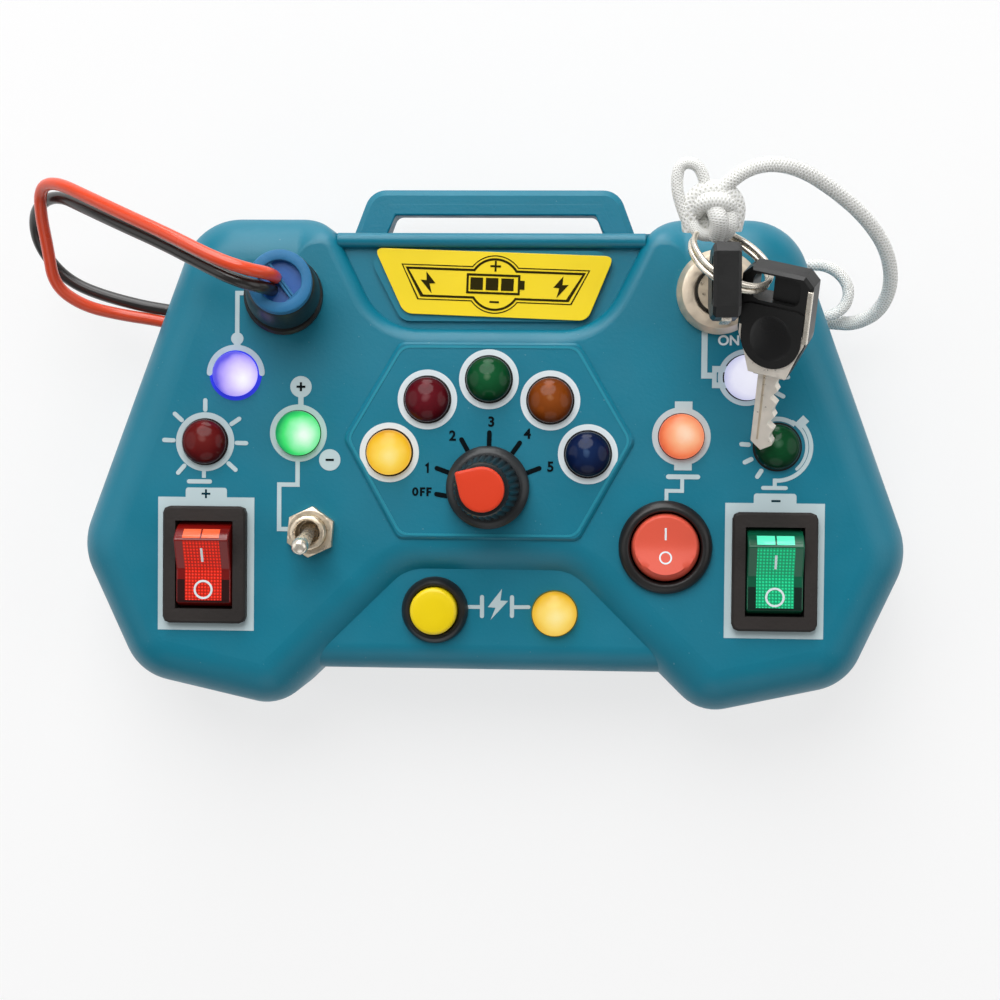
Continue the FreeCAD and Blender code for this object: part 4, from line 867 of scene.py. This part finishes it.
def right_prints():
    x, y = LAMPS["orange_right"][:2]
    lead = [(34.45, -3.9), (34.45, -6.35), (31.7, -6.35), (31.7, -8.3)]
    on_face("orange_right", ring(x, y, 5.18, 4.15), box(33, 8, 36.1, 9.5), box(33, -2.7, 36.1, -1.3),
            stroke([(32, -3.85), (37.2, -3.85)], 0.85), stroke(lead, 0.66, False))

    x, y = LAMPS["green_right"][:2]
    rays = [ray(x, y, 5.05, 6.3, a, 0.8) for a in (176, 206, 237)]
    on_face("green_right", arc(x, y, 4.95, 0.8, 118, 52, False), arc(x, y, 5.2, 0.55, 60, -48),
            arc(x, y, 5.95, 0.72, 50, -95, False), box(50.4, -5.3, 51.1, -4),
            stroke([(54.5, 5.1), (56.1, 6.7)], 1.5, False),
            stroke([(48.7, -5.65), (52.7, -5.65)], 0.7), *rays)

    x, y = LAMPS["white"][:2]
    lead = [(38.1, 24), (38.1, 14.1), (39.6, 14.1)]
    rays = [ray(x, y, 5.75, 7.2, a, 0.78) for a in (-27, 1)]
    on_face("white", ring(x - 0.1, y, 5, 4.15), stroke(lead, 1.05, False), box(39.5, 11.9, 40.3, 15.8),
            box(40.2, 14.7, 42.2, 15.8), box(40.2, 11.9, 42.2, 12.9), *rays)


def rocker_prints():
    y = -20.36
    for side, name in ((-1, "red"), (1, "green")):
        x = side * ROCKER[0]
        frame_line = (box(x - 8.75, y - 12, x + 8.75, y + 12), box(x - 7, y - 10, x + 7, y + 10))
        on_face(name + "_rocker", frame_line, box(x - 3.75, -8.5, x + 3.75, -6.65, 0.5))
    mark("cell_signs", [plus(-50.9, -7.75, 1.6, 0.36), box(50.2, -8.15, 51.8, -7.78)], FACE + 0.075,
         "teal_ink", thick=0.03)
    lettering("on_print", "ON", 42.35, 20.25, FACE + 0.02, 2.4, "white", 0.07)


def panel_prints():
    # White rings round the lamps, a bead with a painted highlight and a strip of painted shade round the
    # raised face
    for name in ("yellow", "blue", "red", "orange", "green"):
        mark(name + "_ring_print", [ring(*LAMPS[name][:2], 5.32, 4.3, 72)], DIAL, "white")
    corners = ((25.35, 2.45), (15.6, 19.1), (-15.6, 19.1), (-25.35, 2.45), (-15.75, -14.8), (15.75, -14.8))

    def scaled(across, up):
        return [(across * a, up * (b - 2.2) + 2.2) for a, b in corners]

    # painted highlight: the bead is a lighter teal
    bead = (round_path(corners, 1.6), round_path(scaled(0.982, 0.975), 1.4))
    mark("panel_bead", [bead], DIAL, "teal_edge", thick=0.1)
    # painted shade: a darker strip along the foot of the raised face
    dark = (round_path(scaled(1.02, 1.03), 1.8), round_path(scaled(0.99, 0.985), 1.5))
    mark("panel_shade", [dark], FACE, "teal_shade", thick=0.02)


def dial_prints():
    ticks = [ray(*KNOB, 7.5, 9.75, a, 0.84) for a in (160, 119.5, 89, 55, 21)]
    ticks.append(stroke([(-9.2, -7.36), (-7.4, -7.68)], 0.84))
    mark("dial_ticks", ticks, DIAL, "ink")
    for words, x, y in (("2", -6.4, 3), ("3", 0.5, 5.55), ("4", 6.95, 3.45), ("5", 11.1, -2.35)):
        lettering("dial_" + words, words, x, y, DIAL + 0.02, 2.45, "ink", 0.075)
    # the figure 1 and the word OFF, drawn from given strokes
    letters = [stroke([(-11.2, -2.35), (-10.78, -2.02), (-10.78, -3.6)], 0.36, False)]
    oval = circle(0, 0, 1, 32)
    outer, inner = (flat(*((-13.0 + across * p.x, -6.95 + up * p.y) for p in oval))
                    for across, up in ((0.56, 0.78), (0.21, 0.42)))
    letters.append((outer, inner))
    foot = -7.73
    head = -6.17
    for x in (-12.15, -11):
        letters += [box(x, foot, x + 0.38, head), box(x, -6.52, x + 0.94, head)]
        letters.append(box(x, -7.14, x + 0.82, -6.8))
    mark("dial_words", letters, DIAL, "ink", thick=0.06)


def push_prints():
    bolt = ((2.47, -24.38), (-0.05, -27.7), (1.34, -27.8), (0.45, -30), (3.59, -26.55), (2.2, -26.5))
    mark("push_print", [
        stroke([(-4.3, -27.72), (-1.4, -27.7)], 0.68, False), stroke([(-1.12, -25.9), (-1.1, -29.35)], 0.74),
        flat(*bolt), stroke([(4.29, -25.85), (4.31, -29.25)], 0.74),
        stroke([(4.6, -27.65), (7.3, -27.6)], 0.68)], FLOOR, "print")
    # dark olive ring round the lit amber lamp, with a faint painted glow
    mark("amber_rim", [ring(*LAMPS["amber"][:2], 4.22, 3.95)], FLOOR, "amber_glow", thick=0.04)


left_prints()
right_prints()
rocker_prints()
panel_prints()
dial_prints()
push_prints()


# Label: a frame with a round bulge, a plain battery sign and two bolts

def label():
    tilt = radians(-1.9)
    middle = 30.3

    def place(x, y, z):
        across = 0.7 + x * cos(tilt) - y * sin(tilt)
        return at(across, middle + x * sin(tilt) + y * cos(tilt), z)

    def frame_path(d):
        # The frame's line, d millimetres inside its outermost one
        top = 3.15 - d
        radius = 5.2 - d
        meet = degrees(asin(top / radius))
        right = flat((13.8 - 1.1 * d, -top), (16.9 - 1.5 * d, top))
        left = flat((-16.9 + 1.5 * d, top), (-13.8 + 1.1 * d, -top))
        shape = right + circle(0, 0, radius, 20, meet, 180 - meet) + left
        shape += circle(0, 0, radius, 20, 180 + meet, 360 - meet)
        return [p + Vector((0.1, -0.2)) for p in shape]

    def bolt(x, side):
        shape = ((0.35, 1.95), (-1.35, -0.1), (-0.3, -0.2), (-0.75, -1.95), (1.35, 0.45), (0.25, 0.4))
        return [Vector((x + side * a, b - 0.25)) for a, b in shape]

    corners = ((-20.9, 36.6), (-15.5, 24.9), (17.3, 23.7), (22, 35.2))
    outline = round_path(corners, 1.7, 8)
    card = slab("label_card", outline, LABEL - 0.62, LABEL, "board", "label", 0.08)
    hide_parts("label_plate")
    cells = [box(-4.3 + 2.75 * k, -1.25, -2.05 + 2.75 * k, 0.95) for k in range(3)]
    mark("label_design", [
        (frame_path(0), frame_path(0.2)), (frame_path(0.5), frame_path(0.92)),
        bolt(-11.9, -1), bolt(11.9, 1), plus(0.1, 3.05, 1.9, 0.36), box(-0.75, -3.5, 0.95, -3.15),
        (box(-5, -1.95, 4.6, 1.65), box(-4.6, -1.55, 4.2, 1.25)), box(4.6, -0.95, 5.4, 0.65)] + cells,
        LABEL, "label_ink", place=place, thick=0.04)


label()


# Inner lip of the carrying handle

def handle_lip():
    path = [(-21, 39.3), (-18.75, 44.45), (19.2, 44.45), (21.6, 39.3)]
    slab("handle_lip", stroke(path, 2.3, False), 18.3, 20.02, "board", "teal", 0.35, segments=3)


handle_lip()


# Rocker switches

def rocker(name, x):
    body = name + "_rocker"
    middle = ROCKER[1]
    pivot = 27.8
    radius = 7.6
    flat = 31.3
    foot = 24.4
    valley = -0.78
    crest = 4.63
    softness = 8
    slope = tan(radians(25))

    def top(y):
        # Flat, then rising from the soft valley to the crest, then round the pivot
        if y > crest:
            return pivot + sqrt(max(0, radius ** 2 - y ** 2))
        a = softness * (y - valley)
        return flat + slope * (log1p(exp(a)) / softness if a < 30 else y - valley)

    def round_end(angles):
        return [(radius * cos(a), pivot + radius * sin(a)) for a in map(radians, angles)]

    dip = [valley + 0.2 * k for k in range(-4, 5)]
    side = [(-6.75, flat)] + [(y, top(y)) for y in dip] + [(crest, top(crest))]
    side += round_end([52.5 - 8.7 * k for k in range(1, 9)]) + [(6, foot), (-6, foot)]
    side += round_end([200 - 9.0 * k for k in range(5)])
    bm = bmesh.new()
    rings_into(bm, [[at(x + dx, middle + y, z) for y, z in side] for dx in (-4.93, 4.93)])
    points = list(bm.verts)
    for end in (points[:len(side)], points[len(side):]):
        bm.faces.new(end)
    shell = new_piece(name + "_rocker_top", bm, body, name + "_side", 20)
    bevel(shell, 0.3, 3, 22)
    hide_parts(body + "_lens", body + "_insert")

    def sheet(part, x0, x1, ys, look):
        # Thin sheet that follows the top
        bm = bmesh.new()
        rows = [[bm.verts.new(at(x + dx, middle + y, top(y) + 0.04)) for dx in (x0, x1)] for y in ys]
        for low, high in zip(rows, rows[1:]):
            bm.faces.new((low[0], low[1], high[1], high[0]))
        new_piece(name + part, bm, body, name + look, 30)

    sheet("_tray", -3.3, 3.3, [-6.3] + dip + [4.45], "_tray")
    # painted highlight: pale glowing sheets on the raised end beyond the crest
    for k, (x0, x1) in enumerate(((-3.35, -0.2), (0.12, 3.2))):
        sheet("_patch_%d" % k, x0, x1, [4.95 + 0.3 * n for n in range(6)], "_patch")
    # painted shade: dark sheets beside the tray and along the pressed-in lower end
    for k, (x0, x1) in enumerate(((-4.7, -3.35), (3.35, 4.7))):
        sheet("_shade_%d" % k, x0, x1, [-6.35, -2.6], "_dark")
    sheet("_shade_low", -4.7, 4.7, [-6.7, -6.32], "_dark")

    def up_slope(a, b, z):
        return at(x + a, middle + b, top(b) + z)

    signs = [stroke([(0, 0.6), (0, 3.1)], 0.42, False), ring(0, -4.4, 1.72, 1.34, 40)]
    mark(name + "_rocker_marks", signs, 0.06, "white", body, up_slope, 0.03)


def round_rocker():
    cx, cy = ROUND_ROCKER
    pivot = 28.8
    level = pivot + 2.4
    valley = 0.38
    ball = 6.1
    low = -2.2
    softness = 1.6
    slope = tan(radians(18))

    def top(b, r):
        # Rising below the soft valley, and nowhere outside the ball round the pivot
        a = softness * (valley - 0.5 - b)
        height = level + slope * log1p(exp(a)) / softness
        return min(height, pivot + sqrt(max(0.01, ball ** 2 - r * r)))

    def place_on(a, b, r):
        return at(cx + a, cy + b, top(b, r))

    spokes = [2 * pi * k / 96 for k in range(96)]
    rings = [[at(cx + 4.6 * cos(a), cy + 4.6 * sin(a), pivot + low) for a in spokes]]
    for dip in (1, 0.8, 0.6, 0.4, 0.22, 0.1, 0.03):
        points = []
        for a in spokes:
            edge = 5.58
            for _ in range(3):
                height = top(edge * sin(a), 0) - pivot
                edge = min(5.62, sqrt(max(9, ball ** 2 - height * height)))
            z = low + (height - low) * (1 - dip)
            reach = min(edge, ball) if dip < 0.05 else min(ball, sqrt(ball ** 2 - z * z))
            points.append(at(cx + reach * cos(a), cy + reach * sin(a), pivot + z))
        rings.append(points)
    for share in (0.975, 0.94, 0.85, 0.7, 0.55, 0.4, 0.25, 0.12):
        r = 5.55 * share
        rings.append([place_on(r * cos(a), r * sin(a), r) for a in spokes])
    bm = bmesh.new()
    rings_into(bm, rings + [[place_on(0, 0, 0)]])
    new_piece("round_rocker_top", bm, "round_rocker", "salmon", 40, "round_rocker_paddle")

    def place(a, b, z):
        return at(cx + a, cy + b, top(b, abs(b)) + z)

    signs = [stroke([(0, 1.35), (0, 3.5)], 0.34, False), ring(0, -1.75, 1.14, 0.86, 36)]
    mark("round_rocker_marks", signs, 0, "white", "round_rocker", place, 0.04)
    rim = [(6.35, -0.8), (6.35, 1.5), (6.55, 1.85), (6.85, 2), (7.3, 1.95), (7.85, 1.5), (8.2, 1),
           (8.3, 0.7), (8.3, -0.02)]
    well = [(6.42, 0.5), (6.42, -6), (0, -6)]
    for part, profile, look, count in (("bezel", rim, "black", 80), ("well", well, "well", 48)):
        lathe("round_rocker_" + part, profile, at(cx, cy, FACE), "board", look, count,
              node="round_rocker_frame")


rocker("red", -ROCKER[0])
rocker("green", ROCKER[0])
round_rocker()


# Toggle switch

def toggle():
    foot = at(*TOGGLE, FACE)
    bush = [(2.82, -0.4)]
    for k in range(7):
        z = 1.9 + 0.44 * k
        bush += [(3, z), (2.82, z + 0.22)]
    bush += [(3, 4.9), (2.85, 5), (2.35, 5), (2.2, 4.8), (2.15, 1), (0, 0.9)]
    lathe("toggle_bush", bush, foot, "board", "nickel", 48, node="toggle_body")
    case = [(0, -12), (4, -12), (4, -2.3), (2.9, -2.2), (2.9, -0.3)]
    lathe("toggle_case", case, foot, "board", "well", 4, node="toggle_body")
    tilt = radians(10)
    axis = Vector((0, -sin(tilt), cos(tilt)))
    bat = [(0, -1.6), (1.1, -1.5), (1.75, -0.7), (1.9, 0), (1.75, 0.7), (1.2, 1.6), (1.15, 2.2), (1.2, 5),
           (1.42, 10.2), (1.45, 11.2), (1.36, 11.9), (1.05, 12.3), (0.6, 12.47), (0, 12.5)]
    pivot = at(*TOGGLE, FACE + 1.5)
    lathe("toggle_bat", bat, pivot, "toggle", "bright", 40, axis, 60, node="toggle_lever")


toggle()


# Dial knob

def knob():
    centre = at(*KNOB, DIAL + 0.4)
    flange = [(5, 0), (7.3, 0), (7.4, 0.12), (7.4, 1.05), (7.3, 1.3), (6.35, 1.95), (6.1, 2), (5.2, 2)]
    lathe("knob_flange", flange, centre, "knob", "flange", 96, node="knob")

    def flute(angle, radius, height):
        # 28 flutes between a plain foot and a plain edge
        if height < 2.3 or height > 15.2:
            return radius * 0.985
        wave = 0.5 + 0.5 * cos(28 * angle)
        return radius * (1 - 0.065 * wave ** 2)

    grip = [(5.85, 1.9), (5.88, 2.2), (5.86, 2.5), (5.6, 6), (5.2, 10.5), (4.85, 14.9), (4.72, 15.3),
            (4.55, 15.55), (4.3, 15.6), (0, 15.6)]
    lathe("knob_grip", grip, centre, "knob", "grip", 224, None, 30, flute, "knob")

    # the cap: a disc with a pointer's tip at its heading
    disc = 3.9
    heading = 148.0
    half = degrees(acos(disc / 5.5))
    way = radians(heading)
    outline = circle(*KNOB, disc, 40, heading + half, heading + 360 - half)
    outline += circle(4.9 * cos(way), KNOB[1] + 4.9 * sin(way), 0.42, 6, heading - 45, heading + 45)
    base = 45.7
    middle = Vector(KNOB)
    levels = ((0, 1), (0.55, 1), (0.78, 0.975), (0.88, 0.92), (0.9, 0.86), (0.9, 0.5))
    rings = [[at(*(middle + (p - middle) * share), base + z) for p in outline] for z, share in levels]
    bm = bmesh.new()
    rings_into(bm, rings + [[at(*middle, base + 0.9)]])
    new_piece("knob_pointer", bm, "knob", "cap", 35, "knob_cap")


knob()


# Push button

def push():
    foot = at(*PUSH, FLOOR)
    rim = [(4.35, -1.2), (4.35, 1.75), (4.5, 2.1), (4.8, 2.2), (5.1, 2.15), (5.5, 1.75), (5.85, 1),
           (6, 0.5), (6, -0.02)]
    lathe("push_bezel", rim, foot, "board", "black", 80, node="push_housing")
    barrel = [(5, -0.1), (5, -12), (0, -12)]
    lathe("push_barrel", barrel, foot, "board", "well", 32, node="push_housing")
    cap = [(4.19, -2.7), (4.19, 3.55), (4.12, 3.85), (3.9, 4.05), (3.5, 4.14), (2, 4.19), (0, 4.2)]
    lathe("push_top", cap, foot, "button", "yellow", 72, node="push_cap")


push()


# Lock, key ring and keys

# Middle, radius and attitude of the key ring, and half the thickness of its wire
RING = Vector((41.4955, 32.7019, 47.6009))
RING_RADIUS = 7.2
RING_HEADING = radians(-30.7)
RING_TILT = radians(56)
RING_WIRE = 0.5
LEVEL = Vector((cos(RING_HEADING), sin(RING_HEADING), 0))

# The spare key hangs on the ring, turned by these degrees
SPARE_TURNS = (("Z", -3.5), ("X", 29.5), ("Y", -20.2))


def lock():
    foot = at(*LOCK, FACE)
    head = [(4.25, -14), (4.25, 2.3), (4.4, 2.45), (4.6, 2.5), (6.35, 2.5), (6.5, 2.44), (7.3, 1.35),
            (7.45, 1.1), (7.45, 0), (6, -0.02), (6, -14)]
    lathe("lock_head", head, foot, "board", "turned", 96, None, 25, node="lock_barrel")
    # painted shade: a dark ring in the gap between the head and the cylinder
    gap = [(3.75, 3.02), (4.24, 3), (4.24, 2), (3.7, 2)]
    lathe("lock_gap", gap, foot, "key", "dark_metal", 48)


def split_ring():
    # Two turns of wire side by side
    side = Vector((-sin(RING_HEADING), cos(RING_HEADING), 0))
    down = side * cos(RING_TILT) - Vector((0, 0, 1)) * sin(RING_TILT)
    square = LEVEL.cross(down)
    bm = bmesh.new()
    for turn_side in (-1, 1):
        rings = []
        for k in range(72):
            a = 2 * pi * k / 72
            spoke = LEVEL * cos(a) + down * sin(a)
            spread = turn_side * (0.56 - 0.05 * cos(a - 1))
            points = []
            for n in range(12):
                b = 2 * pi * n / 12
                out = spoke * (RING_RADIUS + RING_WIRE * cos(b))
                points.append(at(*(RING + out + square * (spread + RING_WIRE * sin(b)))))
            rings.append(points)
        rings_into(bm, rings, True)
    new_piece("split_ring", bm, "key", "bright", 60, "key_ring")


def keys():
    hang = RING + LEVEL * RING_RADIUS
    turn = Matrix.Identity(3)
    for axis, angle in SPARE_TURNS:
        turn = turn @ Matrix.Rotation(radians(angle), 3, axis)

    def spare(x, y, z):
        return at(*(hang + turn @ Vector((x + 2.2, y + 3.2, z))))

    def main(x, y, z):
        return at(LOCK[0] + z, LOCK[1] + x, FACE + 28.0 + y)

    def strip(name, path, width, z0, z1, place, body, look="bright"):
        slab(name, stroke(path, width, False), z0, z1, body, look, 0.12, place)

    # the dish of a grip is an oval of these halves, this far down the grip
    wide = 3.6
    long = 4.2
    deep = -12.0
    turns = [2 * pi * k / 40 for k in range(40)]
    oval = [Vector((wide * cos(a), deep + long * sin(a))) for a in turns]

    strip("spare_key_edge", [(5.75, -2.3), (5.75, -11.9)], 0.85, 1.6, 2.42, spare, "spare_key")
    foot = [(5.75, -10.6), (5.72, -12.3), (4.9, -14.2), (3.35, -19.05), (-3.35, -19.05), (-4.9, -14.2),
            (-5.72, -12.3), (-5.75, -10.6)]
    slab("spare_key_foot", flat(*foot), 2.2, 2.33, "spare_key", "blade", 0.05, spare)
    # the shield round the dish is square above and round below
    shield = []
    for p in oval:
        way = Vector((p.x / wide, (p.y - deep) / long))
        if way.y < 0:
            shield.append(Vector((5.25 * way.x, deep + 5.6 * way.y)))
        else:
            far = max(abs(way.x) / 5.25, abs(way.y) / 5.7, 0.001)
            shield.append(Vector((way.x / far, deep + way.y / far)))
    slab("spare_key_shield", shield, 2.25, 2.62, "spare_key", "key", 0, spare, oval)
    web = box(-0.8, -5.55, 4.1, -0.85)
    slab("spare_key_web", web, -2.2, 1.2, "spare_key", "key", 0.1, spare)
    strip("key_edge", [(-6.4, -1.9), (-6.4, -11)], 0.7, -0.8, 0.8, main, "key")
    strip("spare_key_groove", [(-0.75, -19.6), (-0.75, -32.4)], 0.4, 0.85, 0.96, spare, "spare_key", "nickel")

    small = [Vector((p.x * 0.82, deep + (p.y - deep) * 0.82)) for p in oval]
    grip = 2.31
    for name, place, raised in (("spare_key", spare, 0.3), ("key", main, 0.02)):
        levels = ((oval, raised), (small, 0.4 * raised), ([Vector((0, deep))], 0.2 * raised))
        bm = bmesh.new()
        rings_into(bm, [[place(p.x, p.y, grip + z) for p in line] for line, z in levels])
        new_piece(name + "_dish", bm, name, "dish", 60)


lock()
split_ring()
keys()


# Cross slots of the screws at the back, drawn as dark marks of painted shade

def slots():
    def below(x, y, z):
        return at(x, y, -z)

    def slot(name, x, y, z, size, body):
        mark(name, [plus(x, y, size, 0.8)], -z, "dark_metal", body, below, 0.04)

    for k, (x, y) in enumerate(((-54.5, 17), (54.5, 17), (-41, -39), (41, -39))):
        slot("screw_slot_%d" % k, x, y, 4, 3, "board")
    slot("door_screw_slot", 0, -12.5, 0.15, 3.2, "door_screw")


slots()


# CAD nodes that keep their shape

KEPT = {
    "teal": ["front_shell", "back_shell", "battery_door"],
    "bezel": ["red_rocker_frame", "green_rocker_frame"],
    "black": ["jack_socket"],
    "key": ["key_bow", "spare_key_bow"],
    "flange": ["dial_switch"],
    "nickel": ["toggle_nut", "dial_nut", "lock_cylinder", "panel_nuts", "plug_pin"],
    "blade": ["key_blade", "spare_key_blade"],
    "steel": ["shell_screws", "battery_door_screw", "battery_contacts", "lamp_leads", "dial_shaft",
              "push_spring"],
    "brass": ["switch_terminals"],
    "cell": ["battery_cells"],
}

for look, names in KEPT.items():
    for name in names:
        dress(nodes[name], look)

SOFT = (
    (0.22, ("key_bow", "spare_key_bow", "red_rocker_frame", "green_rocker_frame")),
    (0.12, ("key_blade", "spare_key_blade", "toggle_nut")),
)
for width, names in SOFT:
    for name in names:
        bevel(nodes[name], width, 2, 25, True)
